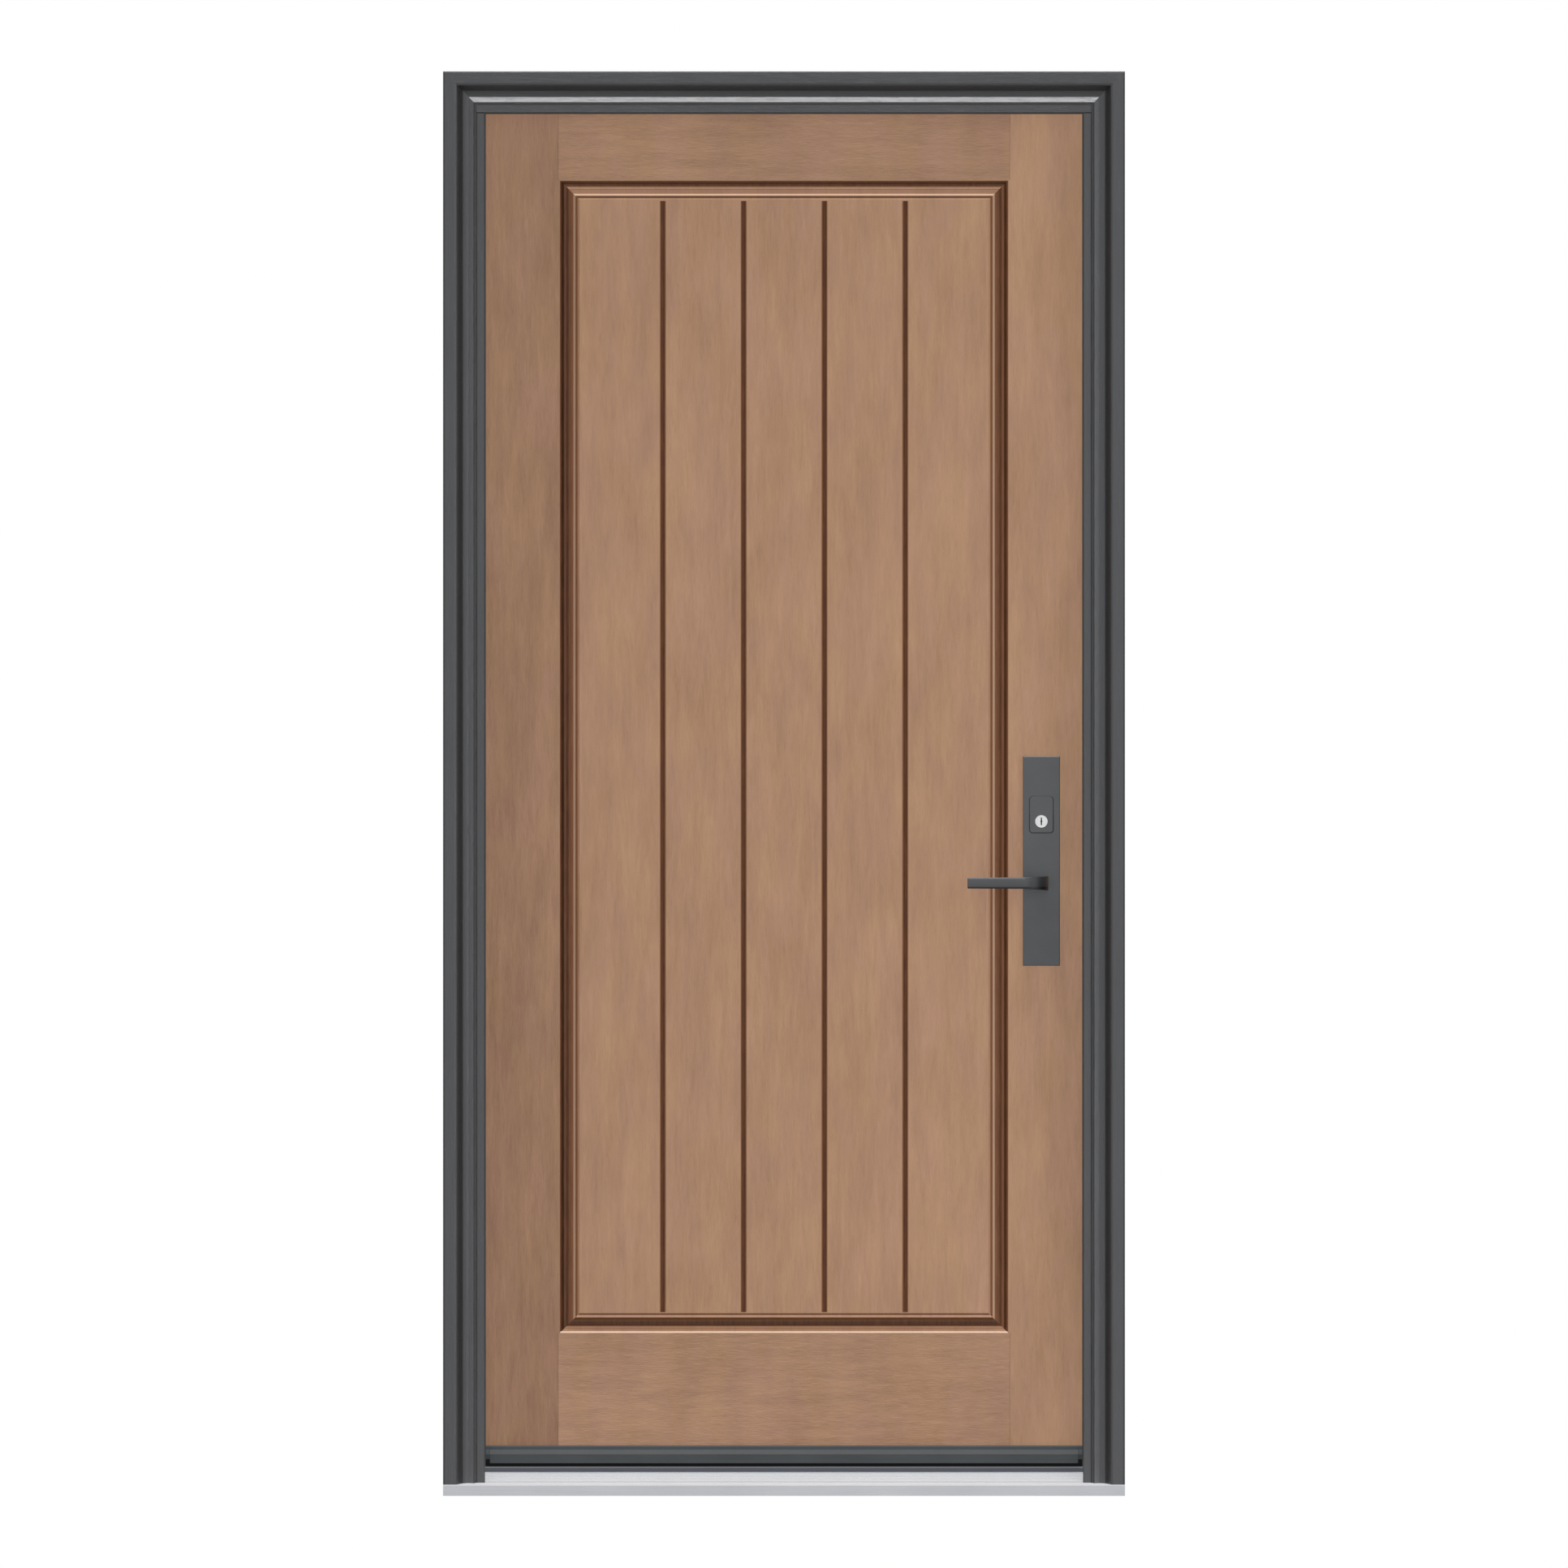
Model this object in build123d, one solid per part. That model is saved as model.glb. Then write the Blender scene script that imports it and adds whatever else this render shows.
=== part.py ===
from build123d import *
import os

os.makedirs("parts", exist_ok=True)

# Entrance door unit in millimetres: X runs right seen from outside, the outside
# faces -Y, Z is up. The origin is under the sill, on the centre line, in the
# wall's outer plane, where the casing backs onto the jambs.

# Opening and jambs
DAYLIGHT_WIDTH = 891.0
DAYLIGHT_TOP = 2060.0
STOP_REVEAL = 12.5
STOP_ROUND = 1.5
JAMB_BACK = 19.25
JAMB_DEPTH = 116.0
KERF_WIDTH = 3.0
KERF_DEPTH = 10.0
KERF_INSET = 2.5

# Moulded casing, its bead measured from the inner edge
MOULD_WIDTH = 50.0
MOULD_THICKNESS = 31.75
MOULD_EDGE_ROUND = 1.5
MOULD_INNER_EDGE = 2.2
MOULD_BEAD = 9.0
MOULD_HOLLOW = 5.8
MOULD_COVE = 11.2
MOULD_ROLL = 28.0
MOULD_BACK_RELIEF = 2.0
MOULD_RELIEF_WIDTH = 4.0

# Sill and threshold
SILL_PROJECTION = 34.0
SILL_NOSE = 16.6
SILL_NOSE_ROUND = 1.4
SILL_AT_JAMB = 19.6
RAMP_TOP = 35.3
SILL_WALL = 2.0
CAP_SEAT = 30.0
CAP_DEPTH = 50.0
CAP_BACK_GAP = 4.0
CAP_TOP = 43.8
CAP_ROUND = 2.0
RIB_COUNT = 6
RIB_WIDTH = 4.6
RIB_HEIGHT = 1.3
RIB_FIRST = 5.5
RIB_LAST_GAP = 4.4
RIB_END_GAP = 0.5

# Leaf
EDGE_GAP = 5.5
SLAB_THICKNESS = 44.5
LOCK_BEVEL = 2.3
SKIN = 3.0
HINGE_STILE_WIDTH = 45.0
RAIL_HEIGHT = 70.0
SWEEP_GAP = 5.0
SWEEP_HEIGHT = 6.0
SWEEP_BASE = 2.0
SWEEP_FIN = 2.0
SWEEP_FIN_PITCH = 14.0
SWEEP_WIDTH = 34.0

# Moulded panel
STILE_FACE = 118.15
TOP_RAIL_FACE = 106.4
BOTTOM_RAIL_FACE = 187.8
STICKING_WIDTH = 29.6
STICKING_DEPTH = 8.2
FIELD_DEPTH = 2.5
FIELD_SKIN = 5.6
PAN_WALL = 4.0
PAN_CLEARANCE = 4.0
PLANKS = 5
PLANK_WIDTH = 120.4
GROOVE_WIDTH = 9.6
GROOVE_DEPTH = 3.2
GROOVE_FLOOR = 1.6
GROOVE_END = 1.8

# Weather seal
SEAL_LIP = 1.2
SEAL_DEPTH = 8.0
SEAL_CLEARANCE = 6.5
SEAL_ROUND = 3.0
SEAL_LEG = 2.4
SEAL_BACK_GAP = 1.5

# Rain deflector
DEFLECTOR_TOP = 75.2
DEFLECTOR_LIP = 5.7
DEFLECTOR_SLOPE = 7.5
DEFLECTOR_PROJECTION = 22.0
DEFLECTOR_LIP_DEPTH = 5.0
DEFLECTOR_WALL = 1.8
DEFLECTOR_FLANGE = 1.5
DEFLECTOR_END_GAP = 7.5
FLANGE_END_GAP = 3.5

# Hinges
HINGE_HEIGHT = 100.0
HINGE_LEAF = 2.5
HINGE_LEAF_WIDTH = 30.0
BARREL_RADIUS = 6.5
PIN_RADIUS = 4.0
PIN_FIT = 0.05
PIN_HEAD_RADIUS = 5.8
PIN_HEAD = 3.0
KNUCKLES = 5
KNUCKLE_GAP = 0.3
HINGE_FROM_TOP = 228.0
HINGE_FROM_BOTTOM = 330.0

# Lock furniture
LOCK_BACKSET = 69.0
LEVER_HEIGHT = 913.0
LOCK_CENTRES = 92.0
PLATE_WIDTH = 55.0
PLATE_HEIGHT = 312.0
PLATE_RISE = 33.0
PLATE_THICKNESS = 8.0
PLATE_ROUND = 1.2
GUARD_WIDTH = 35.7
GUARD_HEIGHT = 54.2
GUARD_RISE = 10.0
GUARD_THICKNESS = 2.0
GUARD_CORNER = 5.0
CYLINDER_RADIUS = 9.2
CYLINDER_PROUD = 0.6
CYLINDER_DEPTH = 34.0
CYLINDER_FIT = 0.05
PLUG_RADIUS = 7.2
PLUG_FIT = 0.05
PLUG_DEPTH = 30.0
PLUG_END_GAP = 0.4
KEYWAY_HEIGHT = 11.4
KEYWAY_WIDTH = 1.8
KEYWAY_BULGE = 3.8
KEYWAY_DEPTH = 22.0
CASE_HEIGHT = 190.0
CASE_THICKNESS = 16.0
CASE_BEHIND = 28.0
CASE_HUB_RADIUS = 6.4
FACEPLATE_WIDTH = 24.0
FACEPLATE_HEIGHT = 240.0
FACEPLATE_THICKNESS = 3.0
LATCH_WIDTH = 12.0
LATCH_HEIGHT = 26.0
LATCH_LENGTH = 36.0
LATCH_RISE = 48.0
LATCH_FIT = 0.3
STRIKE_THICKNESS = 2.5
STRIKE_WIDTH = 34.0
STRIKE_HEIGHT = 150.0
STRIKE_MOUTH_FIT = 3.0
STRIKE_POCKET = 14.0
THUMBTURN_LENGTH = 34.0
THUMBTURN_WIDTH = 12.0
THUMBTURN_CORNER = 4.0
THUMBTURN_STAND = 26.0
THUMBTURN_ROSE = 14.0
THUMBTURN_ROSE_THICKNESS = 3.0

# Lever handles
LEVER_PROJECTION = 55.0
LEVER_TIP = 110.0
LEVER_BAR_DEPTH = 10.5
LEVER_TIP_HEIGHT = 16.2
LEVER_BAR_HEIGHT = 17.0
LEVER_NECK_WIDTH = 20.4
LEVER_NECK_HEIGHT = 21.8
LEVER_OUTER_BEND = 32.0
LEVER_INNER_BEND = 20.0
LEVER_EDGE = 0.9
LEVER_NECK_GAP = 1.0
JOURNAL_RADIUS = 9.0
JOURNAL_FIT = 0.3
SPINDLE = 8.0
SPINDLE_SEAT = 18.0
SPINDLE_HOLE_RADIUS = 11.0

# Places that follow from the sizes
stop_x = DAYLIGHT_WIDTH / 2
rabbet_x = stop_x + STOP_REVEAL
jamb_x = rabbet_x + JAMB_BACK
mould_x = rabbet_x + MOULD_WIDTH
rabbet_z = DAYLIGHT_TOP + STOP_REVEAL
mould_z = rabbet_z + MOULD_WIDTH
slab_front = JAMB_DEPTH - SLAB_THICKNESS
slab_middle = JAMB_DEPTH - SLAB_THICKNESS / 2
seal_end = slab_front - SEAL_CLEARANCE
stop_depth = seal_end - SEAL_DEPTH
cap_back = JAMB_DEPTH - CAP_BACK_GAP
ramp_end = cap_back - CAP_DEPTH
slab_x = rabbet_x - EDGE_GAP
slab_top = rabbet_z - EDGE_GAP
sweep_bottom = CAP_TOP + SWEEP_GAP
slab_bottom = sweep_bottom + SWEEP_HEIGHT
panel_x = slab_x - STILE_FACE
panel_top = slab_top - TOP_RAIL_FACE
panel_bottom = slab_bottom + BOTTOM_RAIL_FACE
field_x = panel_x - STICKING_WIDTH
field_top = panel_top - STICKING_WIDTH
field_bottom = panel_bottom + STICKING_WIDTH
core_front = slab_front + SKIN
core_back = JAMB_DEPTH - SKIN
pin_x = -(rabbet_x - EDGE_GAP / 2)
pin_y = JAMB_DEPTH + BARREL_RADIUS
lock_x = slab_x - LOCK_BACKSET
plate_front = slab_front - PLATE_THICKNESS
cylinder_z = LEVER_HEIGHT + LOCK_CENTRES
guard_front = plate_front - GUARD_THICKNESS
latch_z = LEVER_HEIGHT + LATCH_RISE


def box(x0, x1, y0, y1, z0, z1):
    centre = Pos((x0 + x1) / 2, (y0 + y1) / 2, (z0 + z1) / 2)
    return centre * Box(x1 - x0, y1 - y0, z1 - z0)


def plan_prism(lines, z0, z1):
    """A plan outline in X and Y, carried from z0 up to z1."""
    return Pos(0, 0, z0) * extrude(make_face(lines), z1 - z0, dir=(0, 0, 1))


def run_prism(lines, x0, x1):
    """A cross-section in Y and Z, carried from x0 across to x1."""
    face = Plane.YZ * make_face(lines)
    return Pos(x0, 0, 0) * extrude(face, x1 - x0, dir=(1, 0, 0))


def front_prism(lines, y0, y1):
    """A front outline in X and Z, carried from y0 inwards to y1."""
    face = Plane.XZ * make_face(lines)
    return Pos(0, y0, 0) * extrude(face, y1 - y0, dir=(0, 1, 0))


def outline(*points):
    return Polyline(*points, close=True)


def bore(x, z, radius, y0, y1):
    turned = Rot(90, 0, 0) * Cylinder(radius, y1 - y0)
    return Pos(x, (y0 + y1) / 2, z) * turned


def lock_edge(y):
    """The lock edge of the leaf, bevelled so that its outer corner swings clear."""
    return slab_x - LOCK_BEVEL * (JAMB_DEPTH - y) / SLAB_THICKNESS


def leaf_slice(x0, y0, y1, z0, z1):
    """A layer of the leaf from x0 to the bevelled lock edge."""
    corners = outline((x0, y0), (lock_edge(y0), y0), (lock_edge(y1), y1), (x0, y1))
    return plan_prism(corners, z0, z1)


def ramp_z(y):
    return SILL_AT_JAMB + (RAMP_TOP - SILL_AT_JAMB) * y / ramp_end


def save(part, name):
    part.label = name
    export_step(part, "parts/" + name + ".step")


# Sill: an aluminium deck bent over a composite block
nose_front = (-SILL_PROJECTION, SILL_NOSE - SILL_NOSE_ROUND)
nose_top = (-SILL_PROJECTION + SILL_NOSE_ROUND, SILL_NOSE)
deck_line = [
    nose_front,
    nose_top,
    (0, SILL_AT_JAMB),
    (ramp_end, RAMP_TOP),
    (ramp_end, CAP_SEAT),
    (JAMB_DEPTH + SILL_WALL, CAP_SEAT),
]
sill_face = make_face(
    outline(
        (-SILL_PROJECTION, -SILL_WALL),
        *deck_line,
        (JAMB_DEPTH + SILL_WALL, -SILL_WALL),
    )
)
block_face = offset(sill_face, -SILL_WALL, kind=Kind.INTERSECTION)
shell_face = Plane.YZ * (sill_face - block_face)
shell = Pos(-mould_x, 0, 0) * extrude(shell_face, 2 * mould_x, dir=(1, 0, 0))
trim = box(-mould_x, mould_x, -SILL_PROJECTION, JAMB_DEPTH, 0, CAP_TOP)
wall_return = box(jamb_x, mould_x, 0, JAMB_DEPTH, 0, CAP_TOP)
side_trims = wall_return + mirror(wall_return, about=Plane.YZ)
sill_deck = (shell & trim) - side_trims
last_rib = ramp_end - RIB_LAST_GAP - RIB_WIDTH
rib_pitch = (last_rib - RIB_FIRST) / (RIB_COUNT - 1)
for i in range(RIB_COUNT):
    front = RIB_FIRST + i * rib_pitch
    back = front + RIB_WIDTH
    rib = outline(
        (front, ramp_z(front) - SILL_WALL / 2),
        (front, ramp_z(front) + RIB_HEIGHT),
        (back, ramp_z(back) + RIB_HEIGHT),
        (back, ramp_z(back) - SILL_WALL / 2),
    )
    sill_deck += run_prism(rib, -stop_x + RIB_END_GAP, stop_x - RIB_END_GAP)
save(sill_deck, "sill_deck")

block = extrude(Plane.YZ * block_face, 2 * mould_x, dir=(1, 0, 0))
sill_substrate = ((Pos(-mould_x, 0, 0) * block) & trim) - side_trims
save(sill_substrate, "sill_substrate")

cap_section = outline(
    (ramp_end, CAP_SEAT),
    (ramp_end, CAP_TOP - CAP_ROUND),
    (ramp_end + CAP_ROUND, CAP_TOP),
    (cap_back - CAP_DEPTH / 4, CAP_TOP),
    (cap_back, (CAP_TOP + CAP_SEAT) / 2),
    (cap_back, CAP_SEAT),
)
threshold_cap = run_prism(cap_section, -rabbet_x, rabbet_x)
save(threshold_cap, "threshold_cap")

# What the jambs and casings are coped to at the foot
cope = run_prism(
    outline((-SILL_PROJECTION, -SILL_WALL), *deck_line, (JAMB_DEPTH + SILL_WALL, -SILL_WALL)),
    -mould_x,
    mould_x,
)

# Kerf for the seal, in the back of each stop
kerf_outer = STOP_REVEAL - KERF_INSET
kerf_inner = kerf_outer - KERF_WIDTH
stop_section = [
    (0, STOP_ROUND),
    (0, stop_depth),
    (kerf_inner, stop_depth),
    (kerf_inner, stop_depth - KERF_DEPTH),
    (kerf_outer, stop_depth - KERF_DEPTH),
    (kerf_outer, stop_depth),
    (STOP_REVEAL, stop_depth),
    (STOP_REVEAL, JAMB_DEPTH),
    (STOP_REVEAL + JAMB_BACK, JAMB_DEPTH),
    (STOP_REVEAL + JAMB_BACK, 0),
    (STOP_ROUND, 0),
]

# Hinge places up the jamb, and where the lock meets the other jamb
hinge_top = slab_top - HINGE_FROM_TOP
hinge_bottom = slab_bottom + HINGE_FROM_BOTTOM
hinges = {
    "top": hinge_top,
    "middle": (hinge_top + hinge_bottom) / 2,
    "bottom": hinge_bottom,
}

side_stop = [(stop_x + u, y) for u, y in stop_section]
side_jamb = plan_prism(outline(*side_stop), 0, rabbet_z) - cope
side_jamb -= box(0, mould_x, -STOP_ROUND, stop_depth, DAYLIGHT_TOP, mould_z)

hinge_jamb = mirror(side_jamb, about=Plane.YZ)
leaf_front = JAMB_DEPTH - HINGE_LEAF_WIDTH
for z in hinges.values():
    low = z - HINGE_HEIGHT / 2
    high = z + HINGE_HEIGHT / 2
    hinge_jamb -= box(-rabbet_x - HINGE_LEAF, -rabbet_x, leaf_front, JAMB_DEPTH, low, high)
save(hinge_jamb, "hinge_jamb")

strike_low = latch_z - STRIKE_HEIGHT / 2
strike_high = latch_z + STRIKE_HEIGHT / 2
strike_front = slab_middle - STRIKE_WIDTH / 2
strike_back = slab_middle + STRIKE_WIDTH / 2
mouth_y = LATCH_WIDTH / 2 + STRIKE_MOUTH_FIT
mouth_z = LATCH_HEIGHT / 2 + STRIKE_MOUTH_FIT
strike_seat = box(
    rabbet_x, rabbet_x + STRIKE_THICKNESS, strike_front, strike_back, strike_low, strike_high
)
strike_mouth = box(
    rabbet_x,
    rabbet_x + STRIKE_POCKET,
    slab_middle - mouth_y,
    slab_middle + mouth_y,
    latch_z - mouth_z,
    latch_z + mouth_z,
)
strike_jamb = side_jamb - strike_seat - strike_mouth
save(strike_jamb, "strike_jamb")
save(strike_seat - strike_mouth, "strike_plate")

head_stop = [(y, DAYLIGHT_TOP + u) for u, y in stop_section]
head_jamb = run_prism(outline(*head_stop), -jamb_x, jamb_x)
save(head_jamb, "head_jamb")

# Casing profile: v is measured from its inner edge, t out from the wall
relief_from = JAMB_BACK + MOULD_RELIEF_WIDTH
relief_to = JAMB_BACK
casing_lines = [
    Polyline(
        (0, 0),
        (0, MOULD_INNER_EDGE),
        (2.2, MOULD_INNER_EDGE),
        (3.2, MOULD_BEAD - 0.8),
        (4.4, MOULD_BEAD),
        (11.8, MOULD_HOLLOW),
    ),
    ThreePointArc((11.8, MOULD_HOLLOW), (16.8, MOULD_HOLLOW + 2.1), (21.0, MOULD_COVE)),
    Polyline(
        (21.0, MOULD_COVE),
        (23.2, MOULD_COVE + 3.8),
        (25.7, MOULD_ROLL - 7.0),
        (28.2, MOULD_ROLL),
    ),
    ThreePointArc((28.2, MOULD_ROLL), (30.0, MOULD_ROLL + 2.5), (33.0, MOULD_THICKNESS)),
    Polyline(
        (33.0, MOULD_THICKNESS),
        (MOULD_WIDTH - MOULD_EDGE_ROUND, MOULD_THICKNESS),
        (MOULD_WIDTH, MOULD_THICKNESS - MOULD_EDGE_ROUND),
        (MOULD_WIDTH, 0),
        (relief_from, 0),
        (relief_from, MOULD_BACK_RELIEF),
        (relief_to, MOULD_BACK_RELIEF),
        (relief_to, 0),
        (0, 0),
    ),
]
casing = make_face(casing_lines)

# Upright casing: v to +X from the rabbet line, t to -Y
upright_plane = Plane(origin=(rabbet_x, 0, 0), x_dir=(1, 0, 0), z_dir=(0, 0, -1))
upright = extrude(upright_plane * casing, mould_z, dir=(0, 0, 1))
mitre = front_prism(
    outline(
        (rabbet_x, rabbet_z),
        (mould_x + MOULD_WIDTH, mould_z + MOULD_WIDTH),
        (rabbet_x - MOULD_WIDTH, mould_z + MOULD_WIDTH),
        (rabbet_x - MOULD_WIDTH, rabbet_z),
    ),
    -2 * MOULD_THICKNESS,
    MOULD_THICKNESS,
)
right_brickmould = upright - mitre - cope
save(right_brickmould, "right_brickmould")
left_brickmould = mirror(right_brickmould, about=Plane.YZ)
save(left_brickmould, "left_brickmould")

# Head casing: v up from the rabbet line, t to -Y, mitred to both uprights
head_plane = Plane(origin=(-mould_x, 0, rabbet_z), x_dir=(0, 0, 1), z_dir=(1, 0, 0))
head_run = extrude(head_plane * casing, 2 * mould_x, dir=(1, 0, 0))
head_keep = front_prism(
    outline(
        (-rabbet_x, rabbet_z),
        (rabbet_x, rabbet_z),
        (mould_x, mould_z),
        (-mould_x, mould_z),
    ),
    -2 * MOULD_THICKNESS,
    MOULD_THICKNESS,
)
head_brickmould = head_run & head_keep
save(head_brickmould, "head_brickmould")

# Compression seals: a bulb against the back of the stop and a leg in the kerf
bulb_back = STOP_REVEAL - SEAL_BACK_GAP
leg_inner = kerf_inner + (KERF_WIDTH - SEAL_LEG) / 2
leg_outer = kerf_outer - (KERF_WIDTH - SEAL_LEG) / 2
leg_end = stop_depth - KERF_DEPTH + (KERF_WIDTH - SEAL_LEG) / 2
seal_section = [
    (-SEAL_LIP, stop_depth),
    (-SEAL_LIP, seal_end - SEAL_ROUND),
    (-SEAL_LIP + SEAL_ROUND / 3, seal_end - SEAL_ROUND / 3),
    (-SEAL_LIP + SEAL_ROUND, seal_end),
    (bulb_back - SEAL_ROUND, seal_end),
    (bulb_back - SEAL_ROUND / 3, seal_end - SEAL_ROUND / 3),
    (bulb_back, seal_end - SEAL_ROUND),
    (bulb_back, stop_depth),
    (leg_outer, stop_depth),
    (leg_outer, leg_end),
    (leg_inner, leg_end),
    (leg_inner, stop_depth),
]
seal_corner = DAYLIGHT_TOP - SEAL_LIP
side_seal = outline(*[(stop_x + u, y) for u, y in seal_section])
right_weatherstrip = plan_prism(side_seal, CAP_TOP, seal_corner)
save(right_weatherstrip, "right_weatherstrip")
left_weatherstrip = mirror(right_weatherstrip, about=Plane.YZ)
save(left_weatherstrip, "left_weatherstrip")
head_seal = outline(*[(y, DAYLIGHT_TOP + u) for u, y in seal_section])
seal_half = stop_x + bulb_back
head_weatherstrip = run_prism(head_seal, -seal_half, seal_half)
save(head_weatherstrip, "head_weatherstrip")

# Moulded skin: stiles and rails in one sheet, with the panel pressed into it
pan_depth = STICKING_DEPTH + SKIN
sticking = outline(
    (0, -SKIN),
    (0, 0),
    (1.2, 0.3),
    (2.8, 1.8),
    (6.2, STICKING_DEPTH),
    (10.3, STICKING_DEPTH),
    (13.6, STICKING_DEPTH - 2.0),
    (14.6, STICKING_DEPTH - 1.9),
    (20.2, FIELD_DEPTH + 3.0),
    (23.4, FIELD_DEPTH - 1.0),
    (27.1, FIELD_DEPTH + 2.0),
    (STICKING_WIDTH, FIELD_DEPTH),
    (STICKING_WIDTH, -SKIN),
)
sticking_face = make_face(sticking)

# Sticking down the right of the panel: u to -X, depth to +Y
side_plane = Plane(origin=(panel_x, slab_front, 0), x_dir=(-1, 0, 0), z_dir=(0, 0, -1))
side_cut = extrude(side_plane * sticking_face, slab_top, dir=(0, 0, 1))
side_keep = front_prism(
    outline(
        (panel_x, panel_bottom),
        (panel_x, panel_top),
        (field_x, field_top),
        (field_x, field_bottom),
    ),
    slab_front - 2 * SKIN,
    slab_front + pan_depth,
)
right_cut = side_cut & side_keep

# Sticking along the top of the panel: u to -Z, depth to +Y
top_plane = Plane(origin=(-slab_x, slab_front, panel_top), x_dir=(0, 0, -1), z_dir=(1, 0, 0))
top_run = extrude(top_plane * sticking_face, 2 * slab_x, dir=(1, 0, 0))
top_keep = front_prism(
    outline(
        (-panel_x, panel_top),
        (panel_x, panel_top),
        (field_x, field_top),
        (-field_x, field_top),
    ),
    slab_front - 2 * SKIN,
    slab_front + pan_depth,
)
top_cut = top_run & top_keep
panel_middle = (panel_top + panel_bottom) / 2
bottom_cut = mirror(top_cut, about=Plane.XY.offset(panel_middle))
left_cut = mirror(right_cut, about=Plane.YZ)

field_front = slab_front + FIELD_DEPTH
pan_x = panel_x + PAN_WALL
pan_back = slab_front + pan_depth
pan = box(-pan_x, pan_x, slab_front, pan_back, panel_bottom - PAN_WALL, panel_top + PAN_WALL)
pocket = box(
    -field_x, field_x, field_front + FIELD_SKIN, pan_back, field_bottom, field_top
)
exterior_skin = leaf_slice(-slab_x, slab_front, core_front, slab_bottom, slab_top) + pan
exterior_skin -= top_cut
exterior_skin -= bottom_cut
exterior_skin -= left_cut
exterior_skin -= right_cut
exterior_skin -= box(
    -field_x, field_x, slab_front - SKIN, field_front, field_bottom, field_top
)
exterior_skin -= pocket
for i in range(1, PLANKS):
    x = (i - PLANKS / 2) * PLANK_WIDTH
    groove = outline(
        (x - GROOVE_WIDTH / 2, field_front),
        (x - GROOVE_FLOOR / 2, field_front + GROOVE_DEPTH),
        (x + GROOVE_FLOOR / 2, field_front + GROOVE_DEPTH),
        (x + GROOVE_WIDTH / 2, field_front),
    )
    exterior_skin -= plan_prism(groove, field_bottom + GROOVE_END, field_top - GROOVE_END)

# The inner skin is the same moulding turned to face the room
leaf_plane = Plane.XZ.offset(-slab_middle)
interior_panel = mirror(exterior_skin, about=leaf_plane)
slab_plan = leaf_slice(-slab_x, slab_front, JAMB_DEPTH, slab_bottom, slab_top)
interior_edge = leaf_slice(panel_x, core_back, JAMB_DEPTH, slab_bottom, slab_top)
interior_skin = (interior_panel & slab_plan) + interior_edge

# Seats for the hinge leaves in the hinge edge
door_seats = []
for z in hinges.values():
    low = z - HINGE_HEIGHT / 2
    high = z + HINGE_HEIGHT / 2
    door_seats.append(box(-slab_x, -slab_x + HINGE_LEAF, leaf_front, JAMB_DEPTH, low, high))
for seat in door_seats:
    interior_skin -= seat

# Holes through the leaf for the spindle and the lock cylinder
spindle_hole = bore(lock_x, LEVER_HEIGHT, SPINDLE_HOLE_RADIUS, slab_front - SKIN, JAMB_DEPTH + SKIN)
cylinder_back = guard_front - CYLINDER_PROUD + CYLINDER_DEPTH
cylinder_hole = bore(
    lock_x, cylinder_z, CYLINDER_RADIUS + CYLINDER_FIT, guard_front, cylinder_back
)
save(exterior_skin - spindle_hole - cylinder_hole, "exterior_skin")
save(interior_skin - spindle_hole, "interior_skin")

# Timber edges inside the leaf, mortised for the hinges and the lock
hinge_inner = -slab_x + HINGE_STILE_WIDTH
lock_inner = pan_x + PAN_CLEARANCE
hinge_stile = box(-slab_x, hinge_inner, core_front, core_back, slab_bottom, slab_top)
for seat in door_seats:
    hinge_stile -= seat
save(hinge_stile, "hinge_stile")

case_front = slab_middle - CASE_THICKNESS / 2
case_back = slab_middle + CASE_THICKNESS / 2
case_low = latch_z - CASE_HEIGHT / 2
case_high = latch_z + CASE_HEIGHT / 2
face_front = slab_middle - FACEPLATE_WIDTH / 2
face_back = slab_middle + FACEPLATE_WIDTH / 2
face_low = latch_z - FACEPLATE_HEIGHT / 2
face_high = latch_z + FACEPLATE_HEIGHT / 2
face_inner_front = lock_edge(face_front) - FACEPLATE_THICKNESS
face_inner_back = lock_edge(face_back) - FACEPLATE_THICKNESS
faceplate_plan = outline(
    (face_inner_front, face_front),
    (lock_edge(face_front), face_front),
    (lock_edge(face_back), face_back),
    (face_inner_back, face_back),
)
faceplate_seat = plan_prism(faceplate_plan, face_low, face_high)
case_edge_front = lock_edge(case_front) - FACEPLATE_THICKNESS
case_edge_back = lock_edge(case_back) - FACEPLATE_THICKNESS
case_plan = outline(
    (lock_x - CASE_BEHIND, case_front),
    (case_edge_front, case_front),
    (case_edge_back, case_back),
    (lock_x - CASE_BEHIND, case_back),
)
case_seat = plan_prism(case_plan, case_low, case_high)
lock_stile = leaf_slice(lock_inner, core_front, core_back, slab_bottom, slab_top)
lock_stile -= spindle_hole
lock_stile -= cylinder_hole
lock_stile -= case_seat
lock_stile -= faceplate_seat
save(lock_stile, "lock_stile")

top_rail = box(hinge_inner, lock_inner, core_front, core_back, slab_top - RAIL_HEIGHT, slab_top)
save(top_rail, "top_rail")
bottom_rail = box(
    hinge_inner, lock_inner, core_front, core_back, slab_bottom, slab_bottom + RAIL_HEIGHT
)
save(bottom_rail, "bottom_rail")
foam_core = box(
    hinge_inner,
    lock_inner,
    core_front,
    core_back,
    slab_bottom + RAIL_HEIGHT,
    slab_top - RAIL_HEIGHT,
)
foam_core -= pan
foam_core -= mirror(pan, about=leaf_plane)
foam_core += pocket
foam_core += mirror(pocket, about=leaf_plane)
save(foam_core, "foam_core")

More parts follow.
